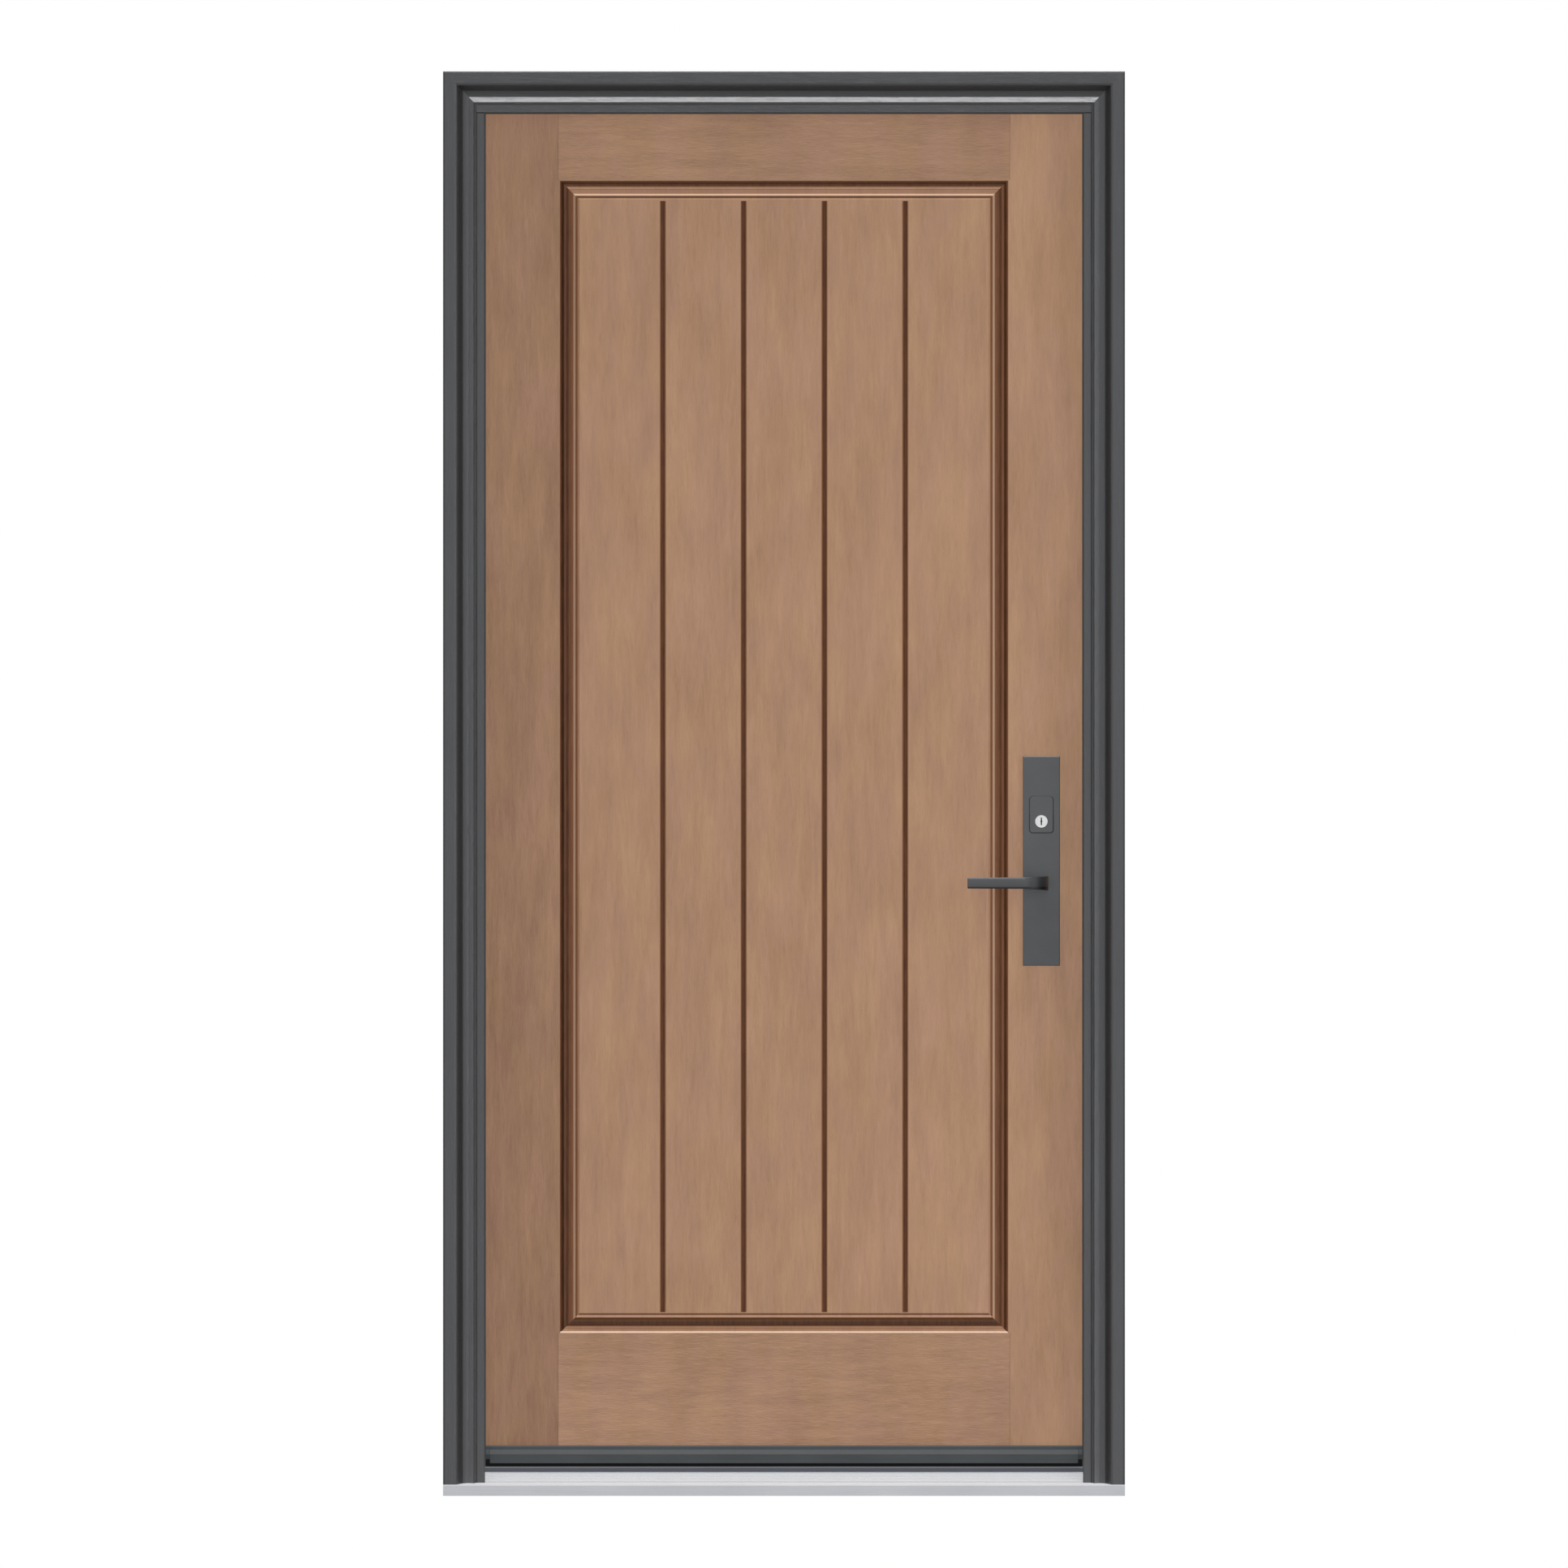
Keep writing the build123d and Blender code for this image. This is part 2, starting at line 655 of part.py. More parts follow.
# Sweep under the leaf: a base strip with fins over the threshold
base_low = slab_bottom - SWEEP_BASE
sweep_front = slab_middle - SWEEP_WIDTH / 2
sweep_back = slab_middle + SWEEP_WIDTH / 2
door_bottom = leaf_slice(-slab_x, sweep_front, sweep_back, base_low, slab_bottom)
for step in (-1, 0, 1):
    fin_front = slab_middle + step * SWEEP_FIN_PITCH - SWEEP_FIN / 2
    fin_back = fin_front + SWEEP_FIN
    door_bottom += leaf_slice(-slab_x, fin_front, fin_back, sweep_bottom, base_low)
save(door_bottom, "door_bottom")

# Rain deflector: an open extrusion with a lip, a sloped apron and a drip front
apron_top = DEFLECTOR_TOP - DEFLECTOR_LIP
apron_foot = apron_top - DEFLECTOR_SLOPE
lip_front = slab_front - DEFLECTOR_LIP_DEPTH
drip_front = slab_front - DEFLECTOR_PROJECTION
deflector_section = outline(
    (slab_front, DEFLECTOR_TOP),
    (lip_front, DEFLECTOR_TOP),
    (lip_front, apron_top),
    (drip_front, apron_foot),
    (drip_front, sweep_bottom),
    (drip_front + DEFLECTOR_WALL, sweep_bottom),
    (drip_front + DEFLECTOR_WALL, apron_foot - DEFLECTOR_WALL),
    (lip_front, apron_top - DEFLECTOR_WALL),
    (slab_front, apron_top - DEFLECTOR_WALL),
)
deflector_half = stop_x - DEFLECTOR_END_GAP
flange_half = slab_x - FLANGE_END_GAP
rain_deflector = run_prism(deflector_section, -deflector_half, deflector_half)
rain_deflector += box(
    -flange_half,
    flange_half,
    slab_front - DEFLECTOR_FLANGE,
    slab_front,
    slab_bottom,
    DEFLECTOR_TOP,
)
save(rain_deflector, "rain_deflector")

# Butt hinges: leaves let in flush, knuckles by turns, one pin
knuckle = HINGE_HEIGHT / KNUCKLES
for name, z in hinges.items():
    low = z - HINGE_HEIGHT / 2
    high = z + HINGE_HEIGHT / 2
    jamb_leaf = box(-rabbet_x - HINGE_LEAF, -rabbet_x, leaf_front, JAMB_DEPTH, low, high)
    door_leaf = box(-slab_x, -slab_x + HINGE_LEAF, leaf_front, JAMB_DEPTH, low, high)
    for i in range(KNUCKLES):
        z0 = low + i * knuckle + KNUCKLE_GAP / 2
        z1 = low + (i + 1) * knuckle - KNUCKLE_GAP / 2
        place = Pos(pin_x, pin_y, (z0 + z1) / 2)
        barrel = place * Cylinder(BARREL_RADIUS, z1 - z0)
        eye = place * Cylinder(PIN_RADIUS + PIN_FIT, z1 - z0)
        if i % 2 == 0:
            arm = box(-rabbet_x - HINGE_LEAF, -rabbet_x, JAMB_DEPTH - HINGE_LEAF, pin_y, z0, z1)
            jamb_leaf += (arm + barrel) - eye
        else:
            arm = box(-slab_x, -slab_x + HINGE_LEAF, JAMB_DEPTH - HINGE_LEAF, pin_y, z0, z1)
            door_leaf += (arm + barrel) - eye
    save(jamb_leaf, name + "_hinge_jamb_leaf")
    save(door_leaf, name + "_hinge_door_leaf")
    pin = Pos(pin_x, pin_y, z) * Cylinder(PIN_RADIUS, HINGE_HEIGHT)
    seat = high - KNUCKLE_GAP / 2
    pin += Pos(pin_x, pin_y, seat + PIN_HEAD / 2) * Cylinder(PIN_HEAD_RADIUS, PIN_HEAD)
    save(pin, name + "_hinge_pin")

# Lock case, its faceplate and the latch bolt drawn back flush
latch_front = slab_middle - LATCH_WIDTH / 2
latch_back = slab_middle + LATCH_WIDTH / 2
latch_low = latch_z - LATCH_HEIGHT / 2
latch_high = latch_z + LATCH_HEIGHT / 2
latch_root = slab_x - LATCH_LENGTH
latch_plan = outline(
    (latch_root, latch_front),
    (lock_edge(latch_front), latch_front),
    (lock_edge(latch_back), latch_back),
    (latch_root, latch_back),
)
latch_bolt = plan_prism(latch_plan, latch_low, latch_high)
save(latch_bolt, "latch_bolt")
latch_way = box(
    latch_root,
    rabbet_x,
    latch_front - LATCH_FIT,
    latch_back + LATCH_FIT,
    latch_low - LATCH_FIT,
    latch_high + LATCH_FIT,
)
hub = bore(lock_x, LEVER_HEIGHT, CASE_HUB_RADIUS, case_front, case_back)
save(case_seat - latch_way - hub - cylinder_hole, "lock_case")
save(faceplate_seat - latch_way, "lock_faceplate")

# Long plates on both faces
plate_z = LEVER_HEIGHT + PLATE_RISE
plate_low = plate_z - PLATE_HEIGHT / 2
plate_high = plate_z + PLATE_HEIGHT / 2
plate_left = lock_x - PLATE_WIDTH / 2
plate_right = lock_x + PLATE_WIDTH / 2
plate = box(plate_left, plate_right, plate_front, slab_front, plate_low, plate_high)
plate = fillet(plate.faces().sort_by(Axis.Y)[0].edges(), PLATE_ROUND)
plate -= bore(lock_x, LEVER_HEIGHT, JOURNAL_RADIUS + JOURNAL_FIT, plate_front, slab_front)
interior_escutcheon = mirror(plate, about=leaf_plane)
save(interior_escutcheon, "interior_escutcheon")
save(plate - cylinder_hole, "exterior_escutcheon")

guard_z = cylinder_z + GUARD_RISE
guard_face = Plane.XZ * (Pos(lock_x, guard_z) * RectangleRounded(GUARD_WIDTH, GUARD_HEIGHT, GUARD_CORNER))
guard = Pos(0, guard_front, 0) * extrude(guard_face, GUARD_THICKNESS, dir=(0, 1, 0))
guard = chamfer(guard.faces().sort_by(Axis.Y)[0].edges(), GUARD_THICKNESS / 3)
save(guard - cylinder_hole, "cylinder_guard")

# Lock cylinder and its key plug
cylinder_front = guard_front - CYLINDER_PROUD
cylinder_body = bore(lock_x, cylinder_z, CYLINDER_RADIUS, cylinder_front, cylinder_back)
plug_end = cylinder_front + PLUG_DEPTH
plug_way = bore(
    lock_x, cylinder_z, PLUG_RADIUS + PLUG_FIT, cylinder_front, plug_end + PLUG_END_GAP
)
save(cylinder_body - plug_way, "cylinder_housing")
plug = bore(lock_x, cylinder_z, PLUG_RADIUS, cylinder_front, plug_end)
keyway = box(
    lock_x - KEYWAY_WIDTH / 2,
    lock_x + KEYWAY_WIDTH / 2,
    cylinder_front,
    cylinder_front + KEYWAY_DEPTH,
    cylinder_z - KEYWAY_HEIGHT / 2,
    cylinder_z + KEYWAY_HEIGHT / 2,
)
keyway += front_prism(
    outline(
        (lock_x - KEYWAY_BULGE / 2, cylinder_z),
        (lock_x, cylinder_z + KEYWAY_BULGE / 2),
        (lock_x + KEYWAY_BULGE / 2, cylinder_z),
        (lock_x, cylinder_z - KEYWAY_BULGE / 2),
    ),
    cylinder_front,
    cylinder_front + KEYWAY_DEPTH,
)
save(plug - keyway, "key_plug")

# Thumbturn on the room side
plate_back = JAMB_DEPTH + PLATE_THICKNESS
rose_back = plate_back + THUMBTURN_ROSE_THICKNESS
thumbturn = bore(lock_x, cylinder_z, THUMBTURN_ROSE, plate_back, rose_back)
grip = box(
    lock_x - THUMBTURN_WIDTH / 2,
    lock_x + THUMBTURN_WIDTH / 2,
    rose_back,
    plate_back + THUMBTURN_STAND,
    cylinder_z - THUMBTURN_LENGTH / 2,
    cylinder_z + THUMBTURN_LENGTH / 2,
)
thumbturn += chamfer(grip.edges().filter_by(Axis.Y), THUMBTURN_CORNER)
save(thumbturn, "thumbturn")

# Lever: an L in plan with a swept bend, cut to a front outline that flares to the neck
bar_front = plate_front - LEVER_PROJECTION
bar_back = bar_front + LEVER_BAR_DEPTH
neck_right = lock_x + LEVER_NECK_WIDTH / 2
neck_left = lock_x - LEVER_NECK_WIDTH / 2
neck_back = plate_front - LEVER_NECK_GAP
tip = lock_x - LEVER_TIP
outer_start = (neck_right - LEVER_OUTER_BEND, bar_front)
outer_end = (neck_right, bar_front + LEVER_OUTER_BEND)
inner_start = (neck_left, bar_back + LEVER_INNER_BEND)
inner_end = (neck_left - LEVER_INNER_BEND, bar_back)
lever_plan = [
    Line((tip, bar_front), outer_start),
    TangentArc(outer_start, outer_end, tangent=(1, 0)),
    Polyline(outer_end, (neck_right, neck_back), (neck_left, neck_back), inner_start),
    TangentArc(inner_start, inner_end, tangent=(0, -1)),
    Polyline(inner_end, (tip, bar_back), (tip, bar_front)),
]
lever = plan_prism(
    lever_plan, LEVER_HEIGHT - LEVER_NECK_HEIGHT, LEVER_HEIGHT + LEVER_NECK_HEIGHT
)
flare = inner_end[0]
tip_half = LEVER_TIP_HEIGHT / 2
bar_half = LEVER_BAR_HEIGHT / 2
neck_half = LEVER_NECK_HEIGHT / 2
flare_half = bar_half + (neck_half - bar_half) / 4
flare_x = (flare + neck_right) / 2
lever_front = [
    Line((tip, LEVER_HEIGHT + tip_half), (flare, LEVER_HEIGHT + bar_half)),
    ThreePointArc(
        (flare, LEVER_HEIGHT + bar_half),
        (flare_x, LEVER_HEIGHT + flare_half),
        (neck_right, LEVER_HEIGHT + neck_half),
    ),
    Line((neck_right, LEVER_HEIGHT + neck_half), (neck_right, LEVER_HEIGHT - neck_half)),
    ThreePointArc(
        (neck_right, LEVER_HEIGHT - neck_half),
        (flare_x, LEVER_HEIGHT - flare_half),
        (flare, LEVER_HEIGHT - bar_half),
    ),
    Line((flare, LEVER_HEIGHT - bar_half), (tip, LEVER_HEIGHT - tip_half)),
    Line((tip, LEVER_HEIGHT - tip_half), (tip, LEVER_HEIGHT + tip_half)),
]
lever &= front_prism(lever_front, bar_front - LEVER_PROJECTION, slab_front)
tip_edges = lever.faces().sort_by(Axis.X)[0].edges()
long_edges = lever.edges().filter_by(Axis.Z, reverse=True)
long_edges = long_edges.filter_by_position(Axis.Y, bar_front, neck_back - LEVER_EDGE)
long_edges = long_edges.filter_by(lambda edge: abs(edge.center().X - flare) > LEVER_EDGE)
lever = chamfer(long_edges + tip_edges.filter_by(Axis.Z), LEVER_EDGE)
lever += bore(lock_x, LEVER_HEIGHT, JOURNAL_RADIUS, neck_back - SPINDLE, slab_front)
spindle_front = plate_front - SPINDLE_SEAT
spindle_back = 2 * slab_middle - spindle_front
spindle = box(
    lock_x - SPINDLE / 2,
    lock_x + SPINDLE / 2,
    spindle_front,
    spindle_back,
    LEVER_HEIGHT - SPINDLE / 2,
    LEVER_HEIGHT + SPINDLE / 2,
)
save(spindle, "spindle")
exterior_lever = lever - spindle
save(exterior_lever, "exterior_lever")
interior_lever = mirror(exterior_lever, about=leaf_plane)
save(interior_lever, "interior_lever")
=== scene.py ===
import math

import bpy
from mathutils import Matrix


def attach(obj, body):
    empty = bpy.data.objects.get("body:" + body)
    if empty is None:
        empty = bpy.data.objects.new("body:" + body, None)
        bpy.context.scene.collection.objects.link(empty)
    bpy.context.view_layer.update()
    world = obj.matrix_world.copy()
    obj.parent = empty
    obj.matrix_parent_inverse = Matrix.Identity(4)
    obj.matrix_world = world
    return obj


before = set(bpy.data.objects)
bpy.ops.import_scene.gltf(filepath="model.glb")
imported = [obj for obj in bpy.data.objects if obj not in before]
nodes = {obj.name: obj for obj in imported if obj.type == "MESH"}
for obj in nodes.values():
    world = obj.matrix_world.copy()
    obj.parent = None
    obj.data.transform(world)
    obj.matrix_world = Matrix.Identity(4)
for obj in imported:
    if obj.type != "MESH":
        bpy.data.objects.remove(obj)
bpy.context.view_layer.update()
scene = bpy.context.scene
scene.view_settings.view_transform = "Standard"

MM_PER_METRE = 1000.0

# Lock, hinges and sweep, in metres
LOCK_X = 0.3835
LATCH_Z = 0.961
PLATE_Z = 0.946
HINGE_HEIGHTS = {"top": 1.839, "middle": 1.1119, "bottom": 0.3848}
JAMB_LEAF_X = -0.458
DOOR_LEAF_X = -0.4525
STRIKE_X = 0.458
FACEPLATE_X = 0.4514
LEAF_MIDDLE_Y = 0.09375
INNER_PLATE_Y = 0.124
CAP_TOP = 0.0438
SWEEP_FOOT = 0.0488
SWEEP_PITCH = 0.014

# Screw heads, in metres, with the recess's taper as a share
HEAD_RADIUS = 0.0042
HEAD_HEIGHT = 0.0012
HEAD_RINGS = [(0.0009, 0.00025), (0.0008, 0.0001)]
RECESS_CORE = 0.0012
RECESS_ARM = 0.0016
RECESS_Z = 0.0008
RECESS_TAPER = 0.7

# Screw holes, in metres, with heights from the middle of each hinge or plate
HINGE_HOLES = [(0.095, -0.036), (0.106, -0.013), (0.095, 0.013), (0.106, 0.036)]
STRIKE_HOLE = 0.06
FACEPLATE_HOLE = 0.11
PLATE_HOLE = 0.14

# Lips of the sweep, in metres, with their taper as a share
LIP_LENGTH = 0.9016
LIP_THICKNESS = 0.0026
LIP_ROOT = 0.0010
LIP_X = -0.0006
LIP_TAPER = 0.45
LIP_LEAN = -0.0008
LIP_ROUNDING = 0.0004

# Camera and studio, in metres
CAMERA_PLACE = (0, -6, 1.0607)
VIEW_WIDTH = 2.3362
FLOOR_SIZE = 14
FLOOR_Z = -0.0005

# Strength of the surround, as a light and as it is seen
FILL_STRENGTH = 0.08
SEEN_STRENGTH = 1.0

# Panel and boards, in millimetres
PANEL_SIDE = 334.35
PANEL_TOP = 1960.6
PANEL_FOOT = 242.6
FIELD_EDGE = 31.2
BOARD_SEAM = 336.6
PLANK = 120.4
PLANK_COUNT = 5
GROOVE_FLAT = 3.0
GROOVE_EDGE = 5.0
LEAF_MIDDLE_Z = 1000.0
EVEN_Z = 800.0

# Lock furniture, in millimetres
LEVER_Z = 913.0
LEVER_HALF_HEIGHT = 6.0
LEVER_BEND = 359.0
LEVER_BEND_END = 371.0
LEVER_NECK = 378.0
LEVER_NECK_END = 390.0
PLATE_FADE_FOOT = 860.0
PLATE_FADE_TOP = 960.0
GUARD_Z = 1015.0
GUARD_HALF_WIDTH = 17.85
GUARD_HALF_HEIGHT = 27.1
GUARD_CORNER = 5.0
KEYWAY_MOUTH = 61.1
KEYWAY_DEEP = 62.0
LATCH_HALF_WIDTH = 6.15
LATCH_HALF_HEIGHT = 13.15
LATCH_BACK = 420.0
RABBET = 456.0

# Frame and sill, in millimetres
STOP_JOINT = 2060.0
STOP_ARRIS = 447.0
STOP_INNER = 445.8
STOP_OUTER = 457.5
STOP_BACK = 20.0
STOP_FACE = 0.5
CASING_X = 458.0
CASING_Z = 2072.5
RIB_START = 0.5
RIB_FIRST = 5.5
RIB_PITCH = 9.5
NOSE_FACE = -32.4
APRON_FOOT = 62.0
SLOPE_TOP = 68.9
CAP_EDGE_FOOT = 41.7
CAP_EDGE_BACK = 64.2

# Painted highlights and a painted shadow, in millimetres: where each starts, is full, starts to fade
# and ends
CREST_HIGHLIGHT = (20.2, 21.6, 22.4, 23.8)
FOOT_HIGHLIGHT = (0.1, 0.9, 2.0, 3.1)
UPRIGHT_BEAD_HIGHLIGHT = (4.4, 5.4, 11.2, 12.2)
HEAD_BEAD_HIGHLIGHT = (2.2, 3.0, 10.8, 11.8)
UNDER_EDGE_SHADOW = (68.9, 69.5, 72.6, 73.4)
LEVER_CROWN_HIGHLIGHT = (-8.2, -7.4, -6.4, -5.4)

# How much stain and painted shade lie in the sticking, by its distance from the panel's edge; the
# sides, the top and the foot differ as the light falls on them
STAIN_REACH = 32.0
SIDE_STAIN_AND_SHADE = [
    (0.0, 0.42),
    (0.0375, 0.78),
    (0.075, 0.82),
    (0.115, 0.88),
    (0.19, 0.90),
    (0.228, 0.84),
    (0.266, 0.79),
    (0.303, 0.85),
    (0.345, 0.82),
    (0.416, 0.79),
    (0.49, 0.78),
    (0.566, 0.71),
    (0.61, 0.72),
    (0.645, 0.09),
    (0.73, 0.08),
    (0.757, 0.76),
    (0.80, 0.70),
    (0.835, 0.54),
    (0.868, 0.0),
]
# Painted light: the right side's hollows get less of the painted shade
RIGHT_SIDE_LESS_SHADE = 0.10
OUTER_HOLLOW = 10.3
INNER_QUIRK = 23.5
TOP_STAIN_AND_SHADE = [
    (0.0, 0),
    (0.03, 0.16),
    (0.07, 0.58),
    (0.12, 0.63),
    (0.19, 0.70),
    (0.205, 0.86),
    (0.255, 0.86),
    (0.29, 0.74),
    (0.33, 0.60),
    (0.365, 0.16),
    (0.40, 0.36),
    (0.44, 0.40),
    (0.48, 0.35),
    (0.60, 0.34),
    (0.635, 0.0),
    (0.73, 0.0),
    (0.765, 0.40),
    (0.83, 0.33),
    (0.87, 0.0),
]
FOOT_STAIN_AND_SHADE = [
    (0.0, 0),
    (0.10, 0.04),
    (0.135, 0.14),
    (0.18, 0.30),
    (0.24, 0.31),
    (0.27, 0.18),
    (0.305, 0.24),
    (0.345, 0.63),
    (0.38, 0.75),
    (0.42, 0.88),
    (0.46, 0.90),
    (0.50, 0.85),
    (0.62, 0.78),
    (0.645, 0.62),
    (0.685, 0.58),
    (0.72, 0.46),
    (0.775, 0.28),
    (0.80, 0.14),
    (0.835, 0.10),
    (0.865, 0.40),
    (0.905, 0.34),
    (0.94, 0.12),
    (0.97, 0.05),
    (1.0, 0.0),
]

# How much darker or lighter some boards are, and the change over each millimetre; the right stile's
# lift, the top rail's extra darkening and the lightening to the right and upwards are painted light
# and painted shade
STILE_DARKER = 0.23
RIGHT_STILE_PAINTED_LIGHTER = 0.26
RAIL_DARKER = 0.11
TOP_RAIL_PAINTED_SHADE = 0.01
SEAM_DARKER = 0.16
PLANKS_PAINTED_LIGHTER_TO_RIGHT = 0.0001
STILES_PAINTED_LIGHTER_UP = 0.00005
PAINTED_LIGHTER_UP = 0.00003

# Painted shade across the stop and the casing, out from the casing's inner edge: start, end, depth
SHADE_SOFTNESS = 0.4
UPRIGHT_SHADES = [
    (-12.9, -11.3, 0.95),
    (-0.9, 1.2, 1.0),
    (3.2, 4.9, 0.50),
    (20.0, 26.9, 0.55),
    (26.9, 31.6, 0.28),
    (47.3, 49.6, 0.70),
]
HEAD_SHADES = [
    (-12.9, -11.3, 0.95),
    (0.1, 1.6, 1.0),
    (20.4, 27.0, 0.10),
]

# Paint on the uprights and on the head: how its grain runs, and what marks it, with painted
# highlights, painted shade and painted light
UPRIGHT_PAINT = {
    "line_stretch": (1, 1, 0.03),
    "wave_stretch": (1, 1, 0.05),
    "wave_scale": 0.26,
    "ridge_tone": 0.12,
    "ridge_height": 0.5,
    "right_painted_light": 0.2,
    "bead": UPRIGHT_BEAD_HIGHLIGHT,
    "bead_light": 0.22,
    "shades": UPRIGHT_SHADES,
}
HEAD_PAINT = {
    "line_stretch": (0.03, 1, 1),
    "wave_stretch": (0.06, 1, 1),
    "wave_scale": 0.40,
    "ridge_tone": 0.36,
    "ridge_height": 0.22,
    "right_painted_light": 0.0,
    "bead": HEAD_BEAD_HIGHLIGHT,
    "bead_light": 0.57,
    "shades": HEAD_SHADES,
}

# The darkest and lightest shade of each metal and trim, as screen values
GRAPHITE = ((66, 67, 69), (80, 81, 83))
PLATE_GRAPHITE = ((70, 71, 73), (84, 85, 87))
NICKEL = ((196, 196, 198), (222, 222, 223))
LOCK_STEEL = ((132, 133, 136), (168, 169, 171))
HINGE_STEEL = ((92, 92, 94), (120, 120, 122))
CAP_VINYL = ((66, 69, 75), (84, 87, 93))
DARK_ALUMINIUM = ((44, 48, 50), (82, 86, 88))
SWEEP_RUBBER = ((14, 14, 15), (24, 24, 25))

# Lamps: height and bearing in degrees from the door's outer face, spread, strength, shadow
LAMPS = [
    ("front_light", 42, 4, 28, 2.7, False),
    ("top_light", 80, 0, 24, 0.85, True),
    ("side_light", 12, 38, 30, 0.3, True),
    ("back_light", 15, 170, 30, 2.2, True),
]


def tint(red, green, blue):
    """A colour given as screen values from 0 to 255."""

    def light(value):
        value = value / 255
        return value / 12.92 if value <= 0.04045 else ((value + 0.055) / 1.055) ** 2.4

    return (light(red), light(green), light(blue), 1.0)


def swing(value, amount):
    """Turns a value from 0 to 1 into a change of the given amount about nothing."""
    return (value - 0.5) * amount


class Value:
    """One output of a node, on which sums can be written."""

    def __init__(self, owner, socket):
        self.owner = owner
        self.socket = socket

    def __add__(self, other):
        return self.owner.sum("ADD", self, other)

    def __radd__(self, other):
        return self.owner.sum("ADD", other, self)

    def __sub__(self, other):
        return self.owner.sum("SUBTRACT", self, other)

    def __rsub__(self, other):
        return self.owner.sum("SUBTRACT", other, self)

    def __mul__(self, other):
        return self.owner.sum("MULTIPLY", self, other)

    def __truediv__(self, other):
        return self.owner.sum("DIVIDE", self, other)

    def __gt__(self, other):
        return self.owner.sum("GREATER_THAN", self, other)

    def __lt__(self, other):
        return self.owner.sum("LESS_THAN", self, other)

    def __abs__(self):
        return self.owner.sum("ABSOLUTE", self)


class Nodes:
    """A tree of shader nodes."""

    def __init__(self, tree):
        self.tree = tree

    def node(self, kind, settings=None, sockets=None, out=0):
        made = self.tree.nodes.new(kind)
        for name, value in (settings or {}).items():
            setattr(made, name, value)
        self.join(made, sockets or {})
        return Value(self, made.outputs[out]) if made.outputs else made

    def join(self, made, sockets):
        for name, value in sockets.items():
            if isinstance(value, Value):
                self.tree.links.new(value.socket, made.inputs[name])
            else:
                made.inputs[name].default_value = value

    def sum(self, operation, *values):
        return self.node("ShaderNodeMath", {"operation": operation}, dict(enumerate(values)))


class Finish(Nodes):
    """A material with its nodes; x, y and z are the piece's own places in millimetres."""

    def __init__(self, name):
        self.material = bpy.data.materials.new(name)
        self.material.use_nodes = True
        super().__init__(self.material.node_tree)
        self.shader = self.tree.nodes["Principled BSDF"]
        self.place = self.node("ShaderNodeTexCoord", out="Object")
        apart = {"Vector": self.place}
        self.x = self.node("ShaderNodeSeparateXYZ", None, apart, "X") * MM_PER_METRE
        self.y = self.node("ShaderNodeSeparateXYZ", None, apart, "Y") * MM_PER_METRE
        self.z = self.node("ShaderNodeSeparateXYZ", None, apart, "Z") * MM_PER_METRE

    def feed(self, **sockets):
        self.join(self.shader, {name.replace("_", " "): value for name, value in sockets.items()})

    def step(self, value, low, high):
        """Runs smoothly from 0 at low to 1 at high."""
        return self.node(
            "ShaderNodeMapRange",
            {"interpolation_type": "SMOOTHSTEP"},
            {"Value": value, "From Min": low, "From Max": high},
        )

    def near(self, value, core, reach):
        """Is 1 where a value lies within core of 0, and fades out at reach."""
        return 1 - self.step(abs(value), core, reach)

    def band(self, value, limits):
        """Is 1 along a line whose limits say where it starts, is full, fades and ends."""
        start, full, fading, end = limits
        return self.step(value, start, full) * (1 - self.step(value, fading, end))

    def ramp(self, stops, factor):
        """Goes through a row of shades as factor goes from 0 to 1."""
        shade = self.node("ShaderNodeValToRGB", None, {"Fac": factor})
        elements = shade.socket.node.color_ramp.elements
        while len(elements) < len(stops):
            elements.new(1.0)
        for element, (position, depth) in zip(elements, stops):
            element.position = position
            element.color = (depth, depth, depth, 1)
        return shade

    def vector(self, x, y, z):
        return self.node("ShaderNodeCombineXYZ", None, {"X": x, "Y": y, "Z": z})

    def stretched(self, x, y, z):
        """The piece's places, drawn out along the directions with a factor under 1."""
        return self.vector(self.x * x, self.y * y, self.z * z)

    def colours(self, factor, first, second):
        return self.node("ShaderNodeMix", {"data_type": "RGBA"}, {0: factor, 6: first, 7: second}, 2)

    def shades(self, factor, pair):
        low, high = pair
        return self.colours(factor, tint(*low), tint(*high))

    def vectors(self, factor, first, second):
        return self.node("ShaderNodeMix", {"data_type": "VECTOR"}, {0: factor, 4: first, 5: second}, 1)

    def noise(self, vector, scale, detail=2.0, roughness=0.5, twist=0.0):
        return self.node(
            "ShaderNodeTexNoise",
            None,
            {
                "Vector": vector,
                "Scale": scale,
                "Detail": detail,
                "Roughness": roughness,
                "Distortion": twist,
            },
        )

    def relief(self, height, depth, strength=1.0):
        """Raises the surface by a height from 0 to 1 that stands depth metres high."""
        sockets = {"Height": height, "Distance": depth, "Strength": strength}
        self.feed(Normal=self.node("ShaderNodeBump", None, sockets))

    def give(self, *names):
        for name in names:
            for slot in nodes[name].material_slots:
                slot.material = self.material


